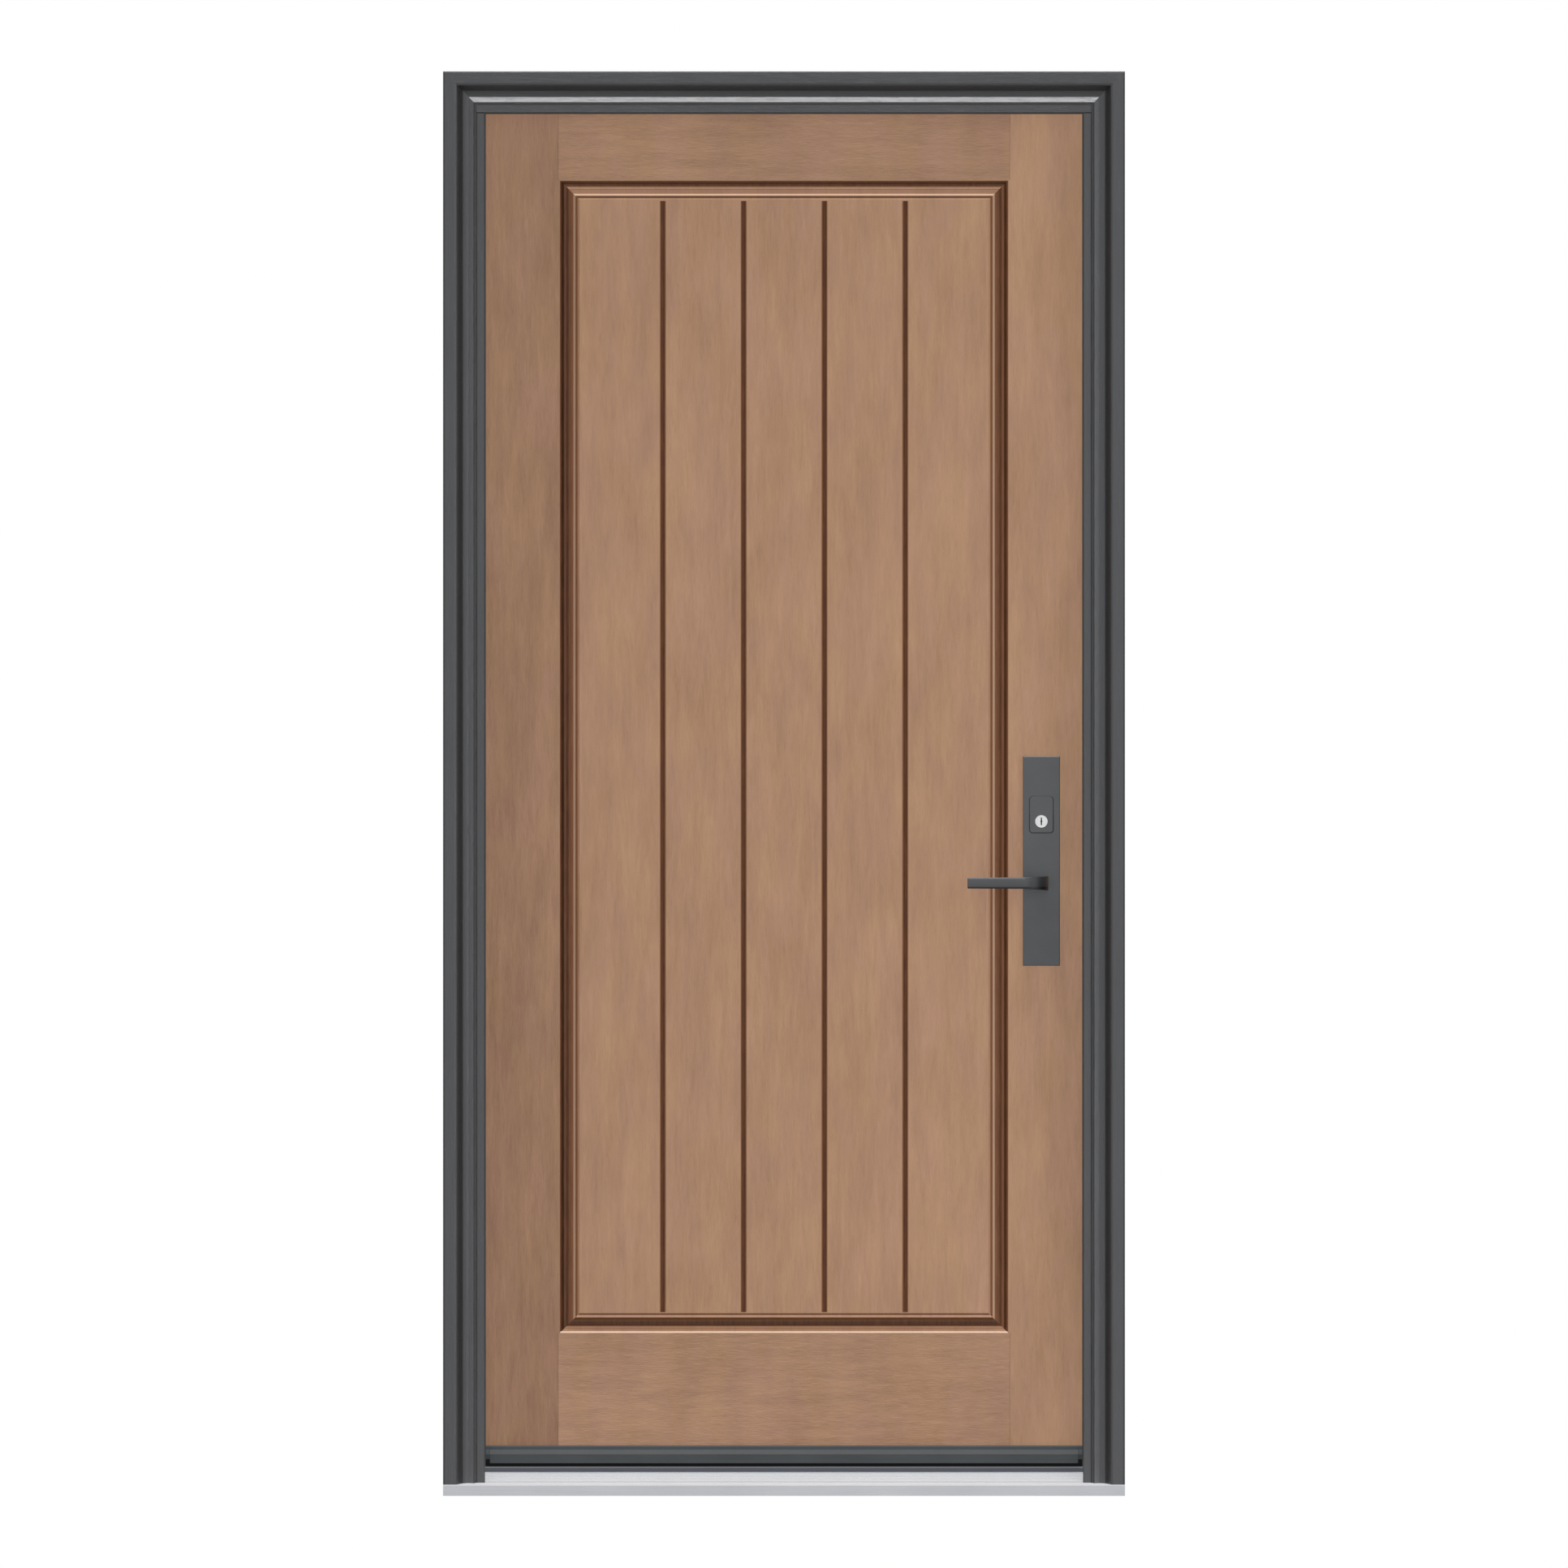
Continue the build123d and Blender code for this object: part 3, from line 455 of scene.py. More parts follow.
class Skin(Finish):
    """The skins' finish, which knows where each board lies."""

    def __init__(self, name):
        super().__init__(name)
        self.right = self.x > 0.0
        self.high = self.z > LEAF_MIDDLE_Z
        self.across = abs(self.x)

        # Distances inwards from the panel's edges
        self.side = PANEL_SIDE - self.across
        self.top = PANEL_TOP - self.z
        self.foot = self.z - PANEL_FOOT
        self.edge = self.sum("MINIMUM", self.sum("MINIMUM", self.side, self.top), self.foot)
        self.inside = self.edge > 0.0
        self.upper = (self.top < self.side) * (self.top < self.foot)
        self.lower = (self.foot < self.side) * (self.foot < self.top)

        self.between_rails = (self.top > 0.0) * (self.foot > 0.0)
        beside_panel = self.between_rails * (self.side < 0.0)
        self.stile = self.sum("MAXIMUM", self.across > BOARD_SEAM, beside_panel)
        self.rail = (1 - self.stile) * (1 - self.inside)
        self.from_groove = abs(abs(self.across - PLANK) - PLANK / 2)

        # Each board has a number of its own, so that no two are cut alike
        plank = self.sum("FLOOR", self.x / PLANK + PLANK_COUNT / 2)
        stile_number = self.stile * (11.0 + self.right * 5.0)
        rail_number = self.rail * (23.0 + self.high * 9.0)
        self.board = plank * self.inside + stile_number + rail_number

    def grain(self, apart, along, along_rail):
        """Places drawn out along each board, and set apart from board to board."""
        upright = self.vector(self.x, self.board * apart, self.z * along)
        level = self.vector(self.z, self.board * apart, self.x * along_rail)
        return self.vectors(self.rail, upright, level)


def board_tone(wood, broad, streak, fine, pore, tick):
    """How light the boards are, each with its own depth of stain, with painted light to the right and
    upwards and painted shade on the top rail.
    """
    cloud = wood.noise(wood.vector(wood.x, wood.board * 11.0, wood.z * 0.4), 0.016)
    tone = 0.60 + swing(broad, 0.28) + swing(streak, 0.22) + swing(fine, 0.20) + swing(cloud, 0.32)
    # Painted light: the right stile is lifted, as if lit from the right
    tone = tone - wood.stile * STILE_DARKER + wood.stile * wood.right * RIGHT_STILE_PAINTED_LIGHTER
    # Painted shade: the top rail is darkened a little more, as in the shade under the head
    tone = tone - wood.rail * RAIL_DARKER - wood.rail * wood.high * TOP_RAIL_PAINTED_SHADE
    tone = tone - pore * 0.05 + tick * 0.20
    # Painted light: the planks lighten to the right, and the stiles and all boards lighten upwards to
    # offset the shade under the head
    tone = tone + wood.x * PLANKS_PAINTED_LIGHTER_TO_RIGHT * wood.inside
    tone = tone + wood.stile * (wood.z - LEAF_MIDDLE_Z) * STILES_PAINTED_LIGHTER_UP
    tone = tone + (wood.z - EVEN_Z) * PAINTED_LIGHTER_UP
    seam = wood.near(wood.across - BOARD_SEAM, 0.4, 1.5)
    return tone - seam * (1 - wood.between_rails) * SEAM_DARKER


def board_colour(wood, tone):
    """Warm and pinkish browns in patches."""
    warm = wood.colours(tone, tint(110, 81, 60), tint(197, 156, 123))
    pink = wood.colours(tone, tint(111, 80, 63), tint(195, 154, 126))
    place = wood.vector(wood.x, wood.board * 13.0, wood.z * 0.3)
    patch = wood.noise(place, 0.022, 2.0, 0.55, 0.4)
    return wood.colours(wood.step(patch, 0.36, 0.64), warm, pink)


def stain_and_shade_depth(wood, streak):
    """How much dark stain and painted shade lie in the grooves and in the hollows of the sticking; the
    right side gets less, as painted light.
    """
    groove = wood.near(wood.from_groove, GROOVE_FLAT, GROOVE_EDGE) * (wood.edge > FIELD_EDGE)
    heart = wood.near(wood.from_groove, 0.8, 3.2)
    stain_and_shade = groove * (0.70 + heart * 0.14)
    reach = wood.edge / STAIN_REACH
    hollows = (wood.edge < OUTER_HOLLOW) + (wood.edge > INNER_QUIRK)
    side_stain_and_shade = wood.ramp(SIDE_STAIN_AND_SHADE, reach) - wood.right * hollows * RIGHT_SIDE_LESS_SHADE
    for stain_with_shade, run in (
        (side_stain_and_shade, 1 - wood.upper - wood.lower),
        (wood.ramp(TOP_STAIN_AND_SHADE, reach), wood.upper),
        (wood.ramp(FOOT_STAIN_AND_SHADE, reach), wood.lower),
    ):
        stain_and_shade = wood.sum("MAXIMUM", stain_and_shade, stain_with_shade * wood.inside * run)
    return stain_and_shade * (0.90 + streak * 0.2)


def stained_skin():
    """Moulded skin, stained as upright stiles and planks between two level rails."""
    wood = Skin("stained_skin")
    grain = wood.grain(37.0, 0.12, 0.12)
    broad = wood.noise(grain, 0.055, twist=0.6)
    streak = wood.noise(grain, 0.22, 3.0, 0.55, 0.3)
    fine_grain = wood.grain(19.0, 0.06, 0.1)
    fine = wood.noise(fine_grain, 0.75, roughness=0.6)
    pore = wood.step(wood.noise(fine_grain, 1.3, detail=1.0), 0.63, 0.75)
    cross_grain = wood.vector(wood.z, wood.board * 7.0, wood.x * 0.16)
    tick = wood.rail * (wood.noise(cross_grain, 0.34, twist=0.9) - 0.5)
    colour = board_colour(wood, board_tone(wood, broad, streak, fine, pore, tick))

    # Dark stain and painted shade darken the grooves and the sticking's hollows
    stain_and_shade = stain_and_shade_depth(wood, streak)
    stain_with_shade = wood.colours(wood.step(stain_and_shade, 0.62, 1.0), tint(115, 73, 46), tint(34, 17, 6))
    colour = wood.colours(stain_and_shade * 1.4, colour, stain_with_shade)

    # The sticking's crest gets a painted highlight, strongest on the upper side and none at the foot,
    # and its lowest edge gets a painted highlight
    crest_highlight = wood.band(wood.edge, CREST_HIGHLIGHT) * (0.55 + wood.upper * 0.3) * (1 - wood.lower)
    colour = wood.colours(crest_highlight, colour, tint(234, 200, 174))
    shine = wood.band(wood.foot, FOOT_HIGHLIGHT) * wood.step(wood.side, 0.0, 2.0)
    colour = wood.colours(shine * 0.57, colour, tint(244, 214, 194))
    wood.feed(
        Base_Color=colour,
        Roughness=0.30 + fine * 0.10 + stain_and_shade * 0.06,
        Specular_IOR_Level=0.25,
    )
    wood.relief(fine * 0.7 + streak * 0.3 - pore * 0.5 + tick * 1.4, 0.0005, 0.5)
    wood.give("exterior_skin", "interior_skin")


def edge_timber():
    """Stained timber of the leaf's edges, its grain along each length."""
    for name, members, stretch in (
        ("edge_timber_upright", ("hinge_stile", "lock_stile"), (1, 1, 0.05)),
        ("edge_timber_level", ("top_rail", "bottom_rail"), (0.05, 1, 1)),
    ):
        timber = Finish(name)
        grain = timber.stretched(*stretch)
        band = timber.noise(grain, 0.12, 3.0, 0.55, 0.8)
        fine = timber.noise(grain, 0.9, roughness=0.6)
        tone = 0.5 + swing(band, 0.7) + swing(fine, 0.3)
        timber.feed(
            Base_Color=timber.colours(tone, tint(96, 66, 46), tint(168, 126, 96)),
            Roughness=0.48 + fine * 0.12,
        )
        timber.relief(fine, 0.0003, 0.5)
        timber.give(*members)


def foam():
    """Pale filling of the leaf, with small cells."""
    filling = Finish("foam_filling")
    sockets = {"Vector": filling.place, "Scale": 900.0}
    cell = filling.node("ShaderNodeTexVoronoi", None, sockets, "Distance")
    tone = filling.noise(filling.place, 60.0)
    colour = filling.colours(tone, tint(214, 200, 158), tint(232, 222, 188))
    filling.feed(Base_Color=colour, Roughness=0.9)
    filling.relief(cell, 0.0004, 0.6)
    filling.give("foam_core")


def casing_marks(paint, colour, look):
    """Paints a highlight along the casing's bead, and painted shade in its joint, quirk, cove,
    shoulder and arrises.
    """
    across = paint.sum("MAXIMUM", abs(paint.x) - CASING_X, paint.z - CASING_Z)
    front = paint.y < STOP_FACE
    # Painted highlight on the bead, stronger on the head, whose bead faces up
    bead = paint.band(across, look["bead"]) * look["bead_light"]
    colour = paint.colours(bead * front, colour, tint(132, 133, 135))
    # Painted shade along each line and band of the table
    soft = SHADE_SOFTNESS
    for start, end, depth in look["shades"]:
        shade = paint.band(across, (start - soft, start + soft, end - soft, end + soft))
        if end < 0.0:
            shade = shade * (abs(paint.x) < STOP_ARRIS)
        colour = paint.colours(shade * front * depth, colour, tint(14, 14, 15))
    return colour


def charcoal(name, look, *members):
    """Satin charcoal over an embossed grain that follows the length."""
    paint = Finish(name)
    line = paint.noise(paint.stretched(*look["line_stretch"]), 0.8, 3.0, 0.6, 0.4)
    wave = paint.noise(paint.stretched(*look["wave_stretch"]), look["wave_scale"], twist=0.5)
    ridge = paint.near(wave - 0.5, 0.004, 0.05)
    cloud = paint.noise(paint.place, 6.0)
    speck = paint.noise(paint.place, 900.0, detail=1.0)
    tone = 0.5 + swing(line, 0.5) + swing(cloud, 0.5) + swing(speck, 0.25)
    # Painted light: the right-hand side is lightened
    tone = tone + swing(ridge, look["ridge_tone"]) + (paint.x > 0.0) * look["right_painted_light"]

    # A pale line shows where the upright stops meet the head's stop
    across = abs(paint.x)
    on_stop = (across < STOP_OUTER) * (across > STOP_INNER) * (paint.y < STOP_BACK)
    tone = tone + paint.near(paint.z - STOP_JOINT, 0.3, 1.1) * on_stop * 2.0
    colour = paint.colours(tone, tint(54, 55, 57), tint(72, 73, 75))
    paint.feed(
        Base_Color=casing_marks(paint, colour, look),
        Roughness=0.26 + line * 0.10,
        Specular_IOR_Level=0.5,
    )
    paint.relief(line * 0.6 + ridge * look["ridge_height"], 0.0004, 0.5)
    paint.give(*members)


def charcoal_paint():
    """The frame's paint, with upright grain on the sides and level grain on the head."""
    uprights = ("hinge_jamb", "strike_jamb", "left_brickmould", "right_brickmould")
    charcoal("charcoal_upright", UPRIGHT_PAINT, *uprights)
    charcoal("charcoal_head", HEAD_PAINT, "head_jamb", "head_brickmould")


def sill_aluminium():
    """Mill-finish deck, drawn along its length, with painted shade on the steps between its ribs, on
    its first step and on its nose.
    """
    deck = Finish("sill_aluminium")
    drawn = deck.noise(deck.stretched(0.004, 1, 1), 2.4, 3.0, 0.6)
    cloud = deck.noise(deck.place, 9.0)
    turn = deck.sum("FRACT", (deck.y - RIB_FIRST) / RIB_PITCH)
    ribbed = deck.y > RIB_START
    # Painted shade: the risers, the first step and the nose face are kept darker than the treads,
    # which face the light from above
    riser_shade = (abs(turn - 0.5) > 0.485) * ribbed
    first_step_shade = ribbed * (deck.y < RIB_FIRST)
    tone = 0.95 + swing(drawn, 0.4) + swing(cloud, 0.2) - (deck.y < NOSE_FACE) * 0.82
    colour = deck.colours(tone, tint(170, 172, 177), tint(226, 228, 231))
    colour = deck.colours(riser_shade * 0.52 + first_step_shade * 0.4, colour, tint(128, 130, 136))
    deck.feed(Base_Color=colour, Metallic=0.12, Roughness=0.48 + drawn * 0.12)
    deck.relief(drawn, 0.00003, 0.5)
    deck.give("sill_deck")


def sill_composite():
    """Gritty block under the deck."""
    block = Finish("sill_composite")
    grit = block.noise(block.place, 320.0, 3.0, 0.6)
    cloud = block.noise(block.place, 14.0)
    tone = grit * 0.6 + cloud * 0.4
    block.feed(Base_Color=block.colours(tone, tint(70, 68, 64), tint(120, 116, 108)), Roughness=0.8)
    block.relief(grit, 0.0004, 0.6)
    block.give("sill_substrate")


def drawn_trim(name, member, pair, metallic, gloss, shine, apron_shade=0.0, marks=None):
    """Dark trim, drawn along its length, with marks of its own."""
    trim = Finish(name)
    drawn = trim.noise(trim.stretched(0.005, 1, 1), 1.6, 3.0, 0.6)
    cloud = trim.noise(trim.place, 12.0)
    # Painted shade and light: the apron under APRON_FOOT is darkened and the part above it lightened,
    # by the given amount
    tone = 0.5 + swing(drawn, 0.4) + swing(cloud, 0.3) + ((trim.z > APRON_FOOT) - 0.6) * apron_shade
    colour = trim.shades(tone, pair)
    if marks:
        colour = marks(trim, colour)
    trim.feed(
        Base_Color=colour,
        Metallic=metallic,
        Roughness=gloss - 0.05 + drawn * 0.10,
        Specular_IOR_Level=shine,
    )
    trim.relief(drawn, 0.0001, 0.4)
    trim.give(member)
    return trim.material


def cap_edge_highlight(trim, colour):
    """The cap's front edge gets a painted highlight."""
    edge_highlight = (trim.z > CAP_EDGE_FOOT) * (trim.y < CAP_EDGE_BACK)
    return trim.colours(edge_highlight * 0.75, colour, tint(120, 121, 125))


def deflector_shadow_and_highlight(trim, colour):
    """A painted shadow lies under the deflector's top edge, over a slope with painted light."""
    colour = trim.colours(trim.band(trim.z, UNDER_EDGE_SHADOW) * 0.5, colour, tint(30, 36, 42))
    lit_slope = (trim.z > APRON_FOOT) * (trim.z < SLOPE_TOP)
    return trim.colours(lit_slope * 0.5, colour, tint(79, 88, 93))


def dark_trim():
    """Threshold cap, rain deflector and sweep; gives the sweep's material."""
    drawn_trim("cap_vinyl", "threshold_cap", CAP_VINYL, 0.0, 0.55, 0.2, marks=cap_edge_highlight)
    drawn_trim(
        "dark_aluminium", "rain_deflector", DARK_ALUMINIUM, 0.35, 0.36, 0.5, 0.6, deflector_shadow_and_highlight
    )
    return drawn_trim("sweep_rubber", "door_bottom", SWEEP_RUBBER, 0.0, 0.7, 0.1)


def seals():
    """Dark rubber of the seals in the stops."""
    rubber = Finish("seal_rubber")
    bloom = rubber.noise(rubber.place, 40.0, 3.0, 0.6)
    grit = rubber.noise(rubber.place, 1200.0, detail=1.0)
    rubber.feed(
        Base_Color=rubber.colours(bloom, tint(16, 16, 17), tint(32, 32, 33)),
        Roughness=0.62 + grit * 0.2,
    )
    rubber.relief(grit, 0.0001, 0.5)
    rubber.give("left_weatherstrip", "right_weatherstrip", "head_weatherstrip")


def metal(name, members, pair, metallic, gloss, depth, fade=None, marks=None):
    """Brushed metal, with a fade and marks of its own."""
    finish = Finish(name)
    pale = finish.noise(finish.place, 30.0)
    grit = finish.noise(finish.place, 1600.0, roughness=0.6)
    brushed = finish.noise(finish.stretched(1, 1, 0.04), 2.0)
    tone = 0.5 + swing(pale, 0.5) + swing(grit, 0.3) + swing(brushed, 0.4)
    if fade:
        tone = tone - fade(finish)
    colour = finish.shades(tone, pair)
    if marks:
        colour = marks(finish, colour)
    finish.feed(Base_Color=colour, Metallic=metallic, Roughness=gloss - 0.06 + grit * 0.12)
    finish.relief(grit, depth, 0.5)
    finish.give(*members)
    return finish.material


def plate_fade(finish):
    """The outer plate darkens towards its foot."""
    return (1 - finish.step(finish.z, PLATE_FADE_FOOT, PLATE_FADE_TOP)) * 0.45


def guard_shadow_line(finish, colour):
    """A painted shadow runs round the guard, where it stands on the plate, deeper below its middle."""
    over_x = abs(finish.x - LOCK_X * MM_PER_METRE) - (GUARD_HALF_WIDTH - GUARD_CORNER)
    over_z = abs(finish.z - GUARD_Z) - (GUARD_HALF_HEIGHT - GUARD_CORNER)
    over_x = finish.sum("MAXIMUM", over_x, 0.0)
    over_z = finish.sum("MAXIMUM", over_z, 0.0)
    corner = finish.sum("SQRT", over_x * over_x + over_z * over_z)
    line = finish.near(corner - GUARD_CORNER, 0.5, 1.3)
    depth = 0.38 + (finish.z < GUARD_Z) * 0.2
    return finish.colours(line * depth, colour, tint(24, 24, 25))


def lever_shading(finish, colour):
    """The bar gets a painted highlight along its crown and painted shade down to its lower edge, along
    its lower arris and at its bend.
    """
    below = LEVER_Z - finish.z
    falling_shade = finish.step(below, -LEVER_HALF_HEIGHT, LEVER_HALF_HEIGHT)
    colour = finish.colours(falling_shade * 0.42, colour, tint(46, 47, 49))
    crown_highlight = finish.band(below, LEVER_CROWN_HIGHLIGHT) * (finish.x < LEVER_BEND)
    colour = finish.colours(crown_highlight * 0.3, colour, tint(136, 137, 140))
    arris_shade = finish.step(below, LEVER_HALF_HEIGHT - 1.1, LEVER_HALF_HEIGHT - 0.1)
    colour = finish.colours(arris_shade * 0.85, colour, tint(14, 14, 15))
    bend_shade = finish.step(finish.x, LEVER_BEND, LEVER_BEND_END)
    bend_shade = bend_shade * (0.6 - finish.step(finish.x, LEVER_NECK, LEVER_NECK_END) * 0.4)
    return finish.colours(bend_shade, colour, tint(30, 31, 33))


def latch_line(finish, colour):
    """A fine dark line shows where the latch comes through."""
    over_y = abs(finish.y - LEAF_MIDDLE_Y * MM_PER_METRE) - LATCH_HALF_WIDTH
    over_z = abs(finish.z - LATCH_Z * MM_PER_METRE) - LATCH_HALF_HEIGHT
    line = finish.near(finish.sum("MAXIMUM", over_y, over_z), 0.25, 0.7)
    line = line * (finish.x < RABBET) * (finish.x > LATCH_BACK)
    return finish.colours(line * 0.85, colour, tint(20, 20, 21))


def keyway_painted_shade(finish, colour):
    """The keyway is painted dark inside, as shade."""
    deep_shade = finish.step(finish.y, KEYWAY_MOUTH, KEYWAY_DEEP)
    return finish.colours(deep_shade, colour, tint(10, 10, 10))


def metals():
    """Lock furniture, lock works and hinges; gives the materials that the screws share."""
    furniture = ("interior_escutcheon", "thumbturn")
    levers = ("exterior_lever", "interior_lever")
    plates = ("exterior_escutcheon", "cylinder_guard")
    cylinder = ("cylinder_housing", "key_plug")
    works = ("spindle", "lock_case", "lock_faceplate", "latch_bolt", "strike_plate")
    hinges = []
    for place in HINGE_HEIGHTS:
        hinges += [place + "_hinge_jamb_leaf", place + "_hinge_door_leaf", place + "_hinge_pin"]
    graphite = metal("graphite_furniture", furniture, GRAPHITE, 0.45, 0.40, 0.00006)
    metal("graphite_lever", levers, GRAPHITE, 0.45, 0.40, 0.00006, marks=lever_shading)
    metal("graphite_plate", plates, PLATE_GRAPHITE, 0.45, 0.40, 0.00006, plate_fade, guard_shadow_line)
    metal("bright_nickel", cylinder, NICKEL, 0.9, 0.28, 0.00003, marks=keyway_painted_shade)
    lock_steel = metal("lock_steel", works, LOCK_STEEL, 0.95, 0.36, 0.00005, marks=latch_line)
    hinge_steel = metal("hinge_steel", hinges, HINGE_STEEL, 0.9, 0.40, 0.00005)
    return graphite, lock_steel, hinge_steel


def pick_faces(piece, wanted):
    """In edit mode, selects only the faces that pass a test."""
    bpy.ops.object.mode_set(mode="OBJECT")
    for part in (piece.data.vertices, piece.data.edges):
        for item in part:
            item.select = False
    for face in piece.data.polygons:
        face.select = wanted(face)
    bpy.ops.object.mode_set(mode="EDIT")


def select(*pieces):
    """Selects only these pieces and makes the first one active."""
    bpy.ops.object.select_all(action="DESELECT")
    for piece in pieces:
        piece.select_set(True)
    bpy.context.view_layer.objects.active = pieces[0]


def settle(piece):
    """Puts a piece's place into its mesh."""
    select(piece)
    bpy.ops.object.transform_apply(location=True, rotation=True, scale=True)


def cross_head():
    """One raised screw head, facing up, with a cross recess."""
    bpy.ops.object.select_all(action="DESELECT")
    bpy.ops.mesh.primitive_cylinder_add(vertices=24, radius=HEAD_RADIUS, depth=HEAD_HEIGHT)
    head = bpy.context.object
    head.name = "screw_head"
    pick_faces(head, lambda face: face.normal.z > 0.9)
    for width, rise in HEAD_RINGS:
        bpy.ops.mesh.inset(thickness=width, depth=rise)
    bpy.ops.object.mode_set(mode="OBJECT")

    bpy.ops.object.select_all(action="DESELECT")
    bpy.ops.mesh.primitive_cube_add(size=RECESS_CORE, location=(0, 0, RECESS_Z))
    cutter = bpy.context.object
    pick_faces(cutter, lambda face: abs(face.normal.z) < 0.1)
    bpy.ops.mesh.extrude_faces_move(TRANSFORM_OT_shrink_fatten={"value": RECESS_ARM})
    pick_faces(cutter, lambda face: face.normal.z < -0.9)
    bpy.ops.transform.resize(value=(RECESS_TAPER, RECESS_TAPER, 1))
    bpy.ops.object.mode_set(mode="OBJECT")
    settle(cutter)

    recess = head.modifiers.new("recess", "BOOLEAN")
    recess.operation = "DIFFERENCE"
    recess.object = cutter
    bpy.context.view_layer.objects.active = head
    bpy.ops.object.modifier_apply(modifier=recess.name)
    select(cutter)
    bpy.ops.object.delete()
    select(head)
    bpy.ops.object.shade_smooth_by_angle(angle=math.radians(25))
    return head


def screws(head, name, places, turn, material, body):
    """Sets copies of the screw head at their places as one piece."""
    heads = []
    for place in places:
        select(head)
        bpy.ops.object.duplicate(linked=False)
        screw = bpy.context.object
        screw.location = place
        screw.rotation_euler = turn
        settle(screw)
        heads.append(screw)
    select(*heads)
    bpy.ops.object.join()
    row = heads[0]
    row.name = name
    settle(row)
    row.data.materials.clear()
    row.data.materials.append(material)
    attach(row, body)


def lock_and_hinge_screws(graphite, lock_steel, hinge_steel):
    """Screws of the hinges, the strike plate, the faceplate and the inner plate."""
    head = cross_head()
    to_right = (0, math.radians(90), 0)
    to_left = (0, math.radians(-90), 0)
    to_room = (math.radians(-90), 0, 0)
    for place, middle in HINGE_HEIGHTS.items():
        jamb_holes = [(JAMB_LEAF_X, y, middle + step) for y, step in HINGE_HOLES]
        door_holes = [(DOOR_LEAF_X, y, middle + step) for y, step in HINGE_HOLES]
        row = place + "_hinge_jamb_screws"
        screws(head, row, jamb_holes, to_right, hinge_steel, "frame")
        row = place + "_hinge_door_screws"
        screws(head, row, door_holes, to_left, hinge_steel, "leaf")
    strike_holes = [(STRIKE_X, LEAF_MIDDLE_Y, LATCH_Z + step) for step in (-STRIKE_HOLE, STRIKE_HOLE)]
    screws(head, "strike_plate_screws", strike_holes, to_left, lock_steel, "frame")
    face_steps = (-FACEPLATE_HOLE, FACEPLATE_HOLE)
    face_holes = [(FACEPLATE_X, LEAF_MIDDLE_Y, LATCH_Z + step) for step in face_steps]
    screws(head, "lock_faceplate_screws", face_holes, to_right, lock_steel, "leaf")
    plate_holes = [(LOCK_X, INNER_PLATE_Y, PLATE_Z + step) for step in (-PLATE_HOLE, PLATE_HOLE)]
    screws(head, "interior_plate_screws", plate_holes, to_room, graphite, "leaf")
    select(head)
    bpy.ops.object.delete()


def sweep_lips(rubber):
    """Soft lips that hang from the sweep's fins down to the threshold cap."""
    lips = []
    foot = CAP_TOP
    head = SWEEP_FOOT + LIP_ROOT
    for step in (-1, 0, 1):
        bpy.ops.object.select_all(action="DESELECT")
        middle = (LIP_X, LEAF_MIDDLE_Y + step * SWEEP_PITCH, (foot + head) / 2)
        bpy.ops.mesh.primitive_cube_add(size=1, location=middle)
        lip = bpy.context.object
        lip.scale = (LIP_LENGTH, LIP_THICKNESS, head - foot)
        settle(lip)
        pick_faces(lip, lambda face: face.normal.z < -0.9)
        bpy.ops.transform.resize(value=(1, LIP_TAPER, 1))
        bpy.ops.transform.translate(value=(0, LIP_LEAN, 0))
        bpy.ops.mesh.bevel(offset=LIP_ROUNDING, segments=2)
        bpy.ops.object.mode_set(mode="OBJECT")
        lips.append(lip)
    select(*lips)
    bpy.ops.object.join()
    lips[0].name = "sweep_lips"
    settle(lips[0])
    bpy.ops.object.shade_smooth_by_angle(angle=math.radians(40))
    lips[0].data.materials.clear()
    lips[0].data.materials.append(rubber)
    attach(lips[0], "leaf")


def photo_camera():
    """Straight front view, as in the photo."""
    bpy.ops.object.select_all(action="DESELECT")
    bpy.ops.object.camera_add(location=CAMERA_PLACE, rotation=(math.radians(90), 0, 0))
    camera = bpy.context.object
    camera.name = "photo_camera"
    camera.data.type = "ORTHO"
    camera.data.ortho_scale = VIEW_WIDTH
    scene.camera = camera


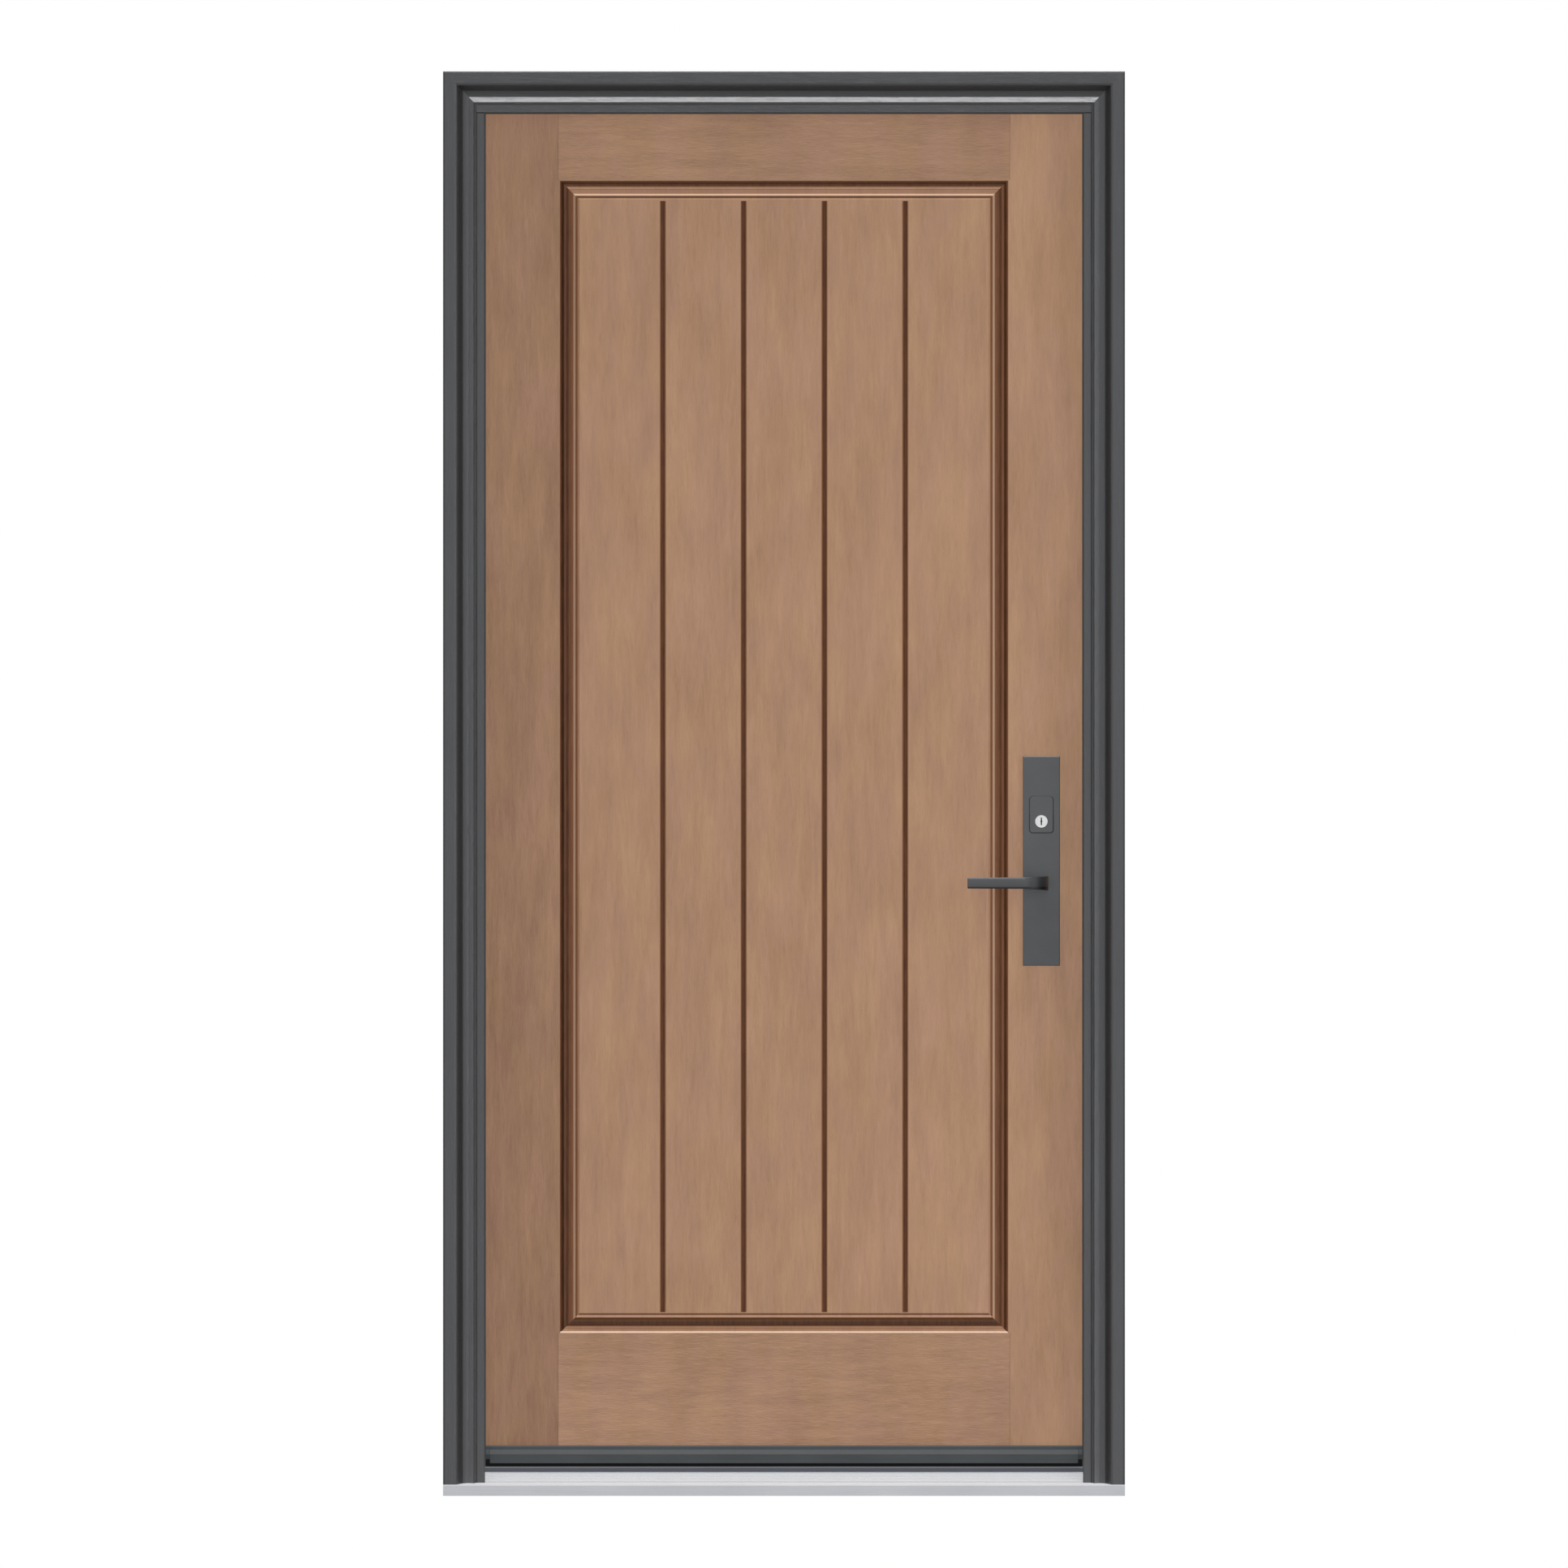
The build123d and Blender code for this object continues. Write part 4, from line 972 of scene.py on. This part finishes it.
def surround():
    """White wherever it is seen, and dim as a source of light."""
    world = bpy.data.worlds.new("studio")
    scene.world = world
    world.use_nodes = True
    sky = Nodes(world.node_tree)
    sky.tree.nodes.clear()
    seen = sky.node("ShaderNodeLightPath", out="Is Camera Ray")
    mirrored = sky.node("ShaderNodeLightPath", out="Is Glossy Ray")
    through = sky.node("ShaderNodeLightPath", out="Is Transmission Ray")
    white = (1, 1, 1, 1)
    dim = sky.node("ShaderNodeBackground", None, {"Color": white, "Strength": FILL_STRENGTH})
    bright = sky.node("ShaderNodeBackground", None, {"Color": white, "Strength": SEEN_STRENGTH})
    shown = sky.sum("MAXIMUM", sky.sum("MAXIMUM", seen, mirrored), through)
    both = sky.node("ShaderNodeMixShader", None, {0: shown, 1: dim, 2: bright})
    sky.node("ShaderNodeOutputWorld", None, {"Surface": both})


def studio_floor():
    """Pale floor, darker for the light that it throws back."""
    bpy.ops.object.select_all(action="DESELECT")
    bpy.ops.mesh.primitive_plane_add(size=FLOOR_SIZE, location=(0, 0, FLOOR_Z))
    floor = bpy.context.object
    floor.name = "studio_floor"
    plain = Finish("pale_floor")
    cloud = plain.noise(plain.place, 2.0)
    pale = plain.colours(cloud, tint(232, 232, 232), tint(238, 238, 238))
    seen = plain.node("ShaderNodeLightPath", out="Is Camera Ray")
    mirrored = plain.node("ShaderNodeLightPath", out="Is Glossy Ray")
    shown = plain.sum("MAXIMUM", seen, mirrored)
    plain.feed(Base_Color=plain.colours(shown, tint(140, 140, 140), pale), Roughness=0.9)
    floor.data.materials.append(plain.material)


def lamps():
    """Soft light from the front, above, one side and behind."""
    for name, height, bearing, spread, strength, shadow in LAMPS:
        lamp = bpy.data.lights.new(name, "SUN")
        lamp.energy = strength
        lamp.angle = math.radians(spread)
        lamp.use_shadow = shadow
        holder = bpy.data.objects.new(name, lamp)
        holder.rotation_euler = (math.radians(90 - height), 0, math.radians(bearing))
        scene.collection.objects.link(holder)


stained_skin()
edge_timber()
foam()
charcoal_paint()
sill_aluminium()
sill_composite()
sweep_rubber = dark_trim()
seals()
screw_metals = metals()
bpy.context.tool_settings.mesh_select_mode = (False, False, True)
lock_and_hinge_screws(*screw_metals)
sweep_lips(sweep_rubber)
photo_camera()
surround()
studio_floor()
lamps()
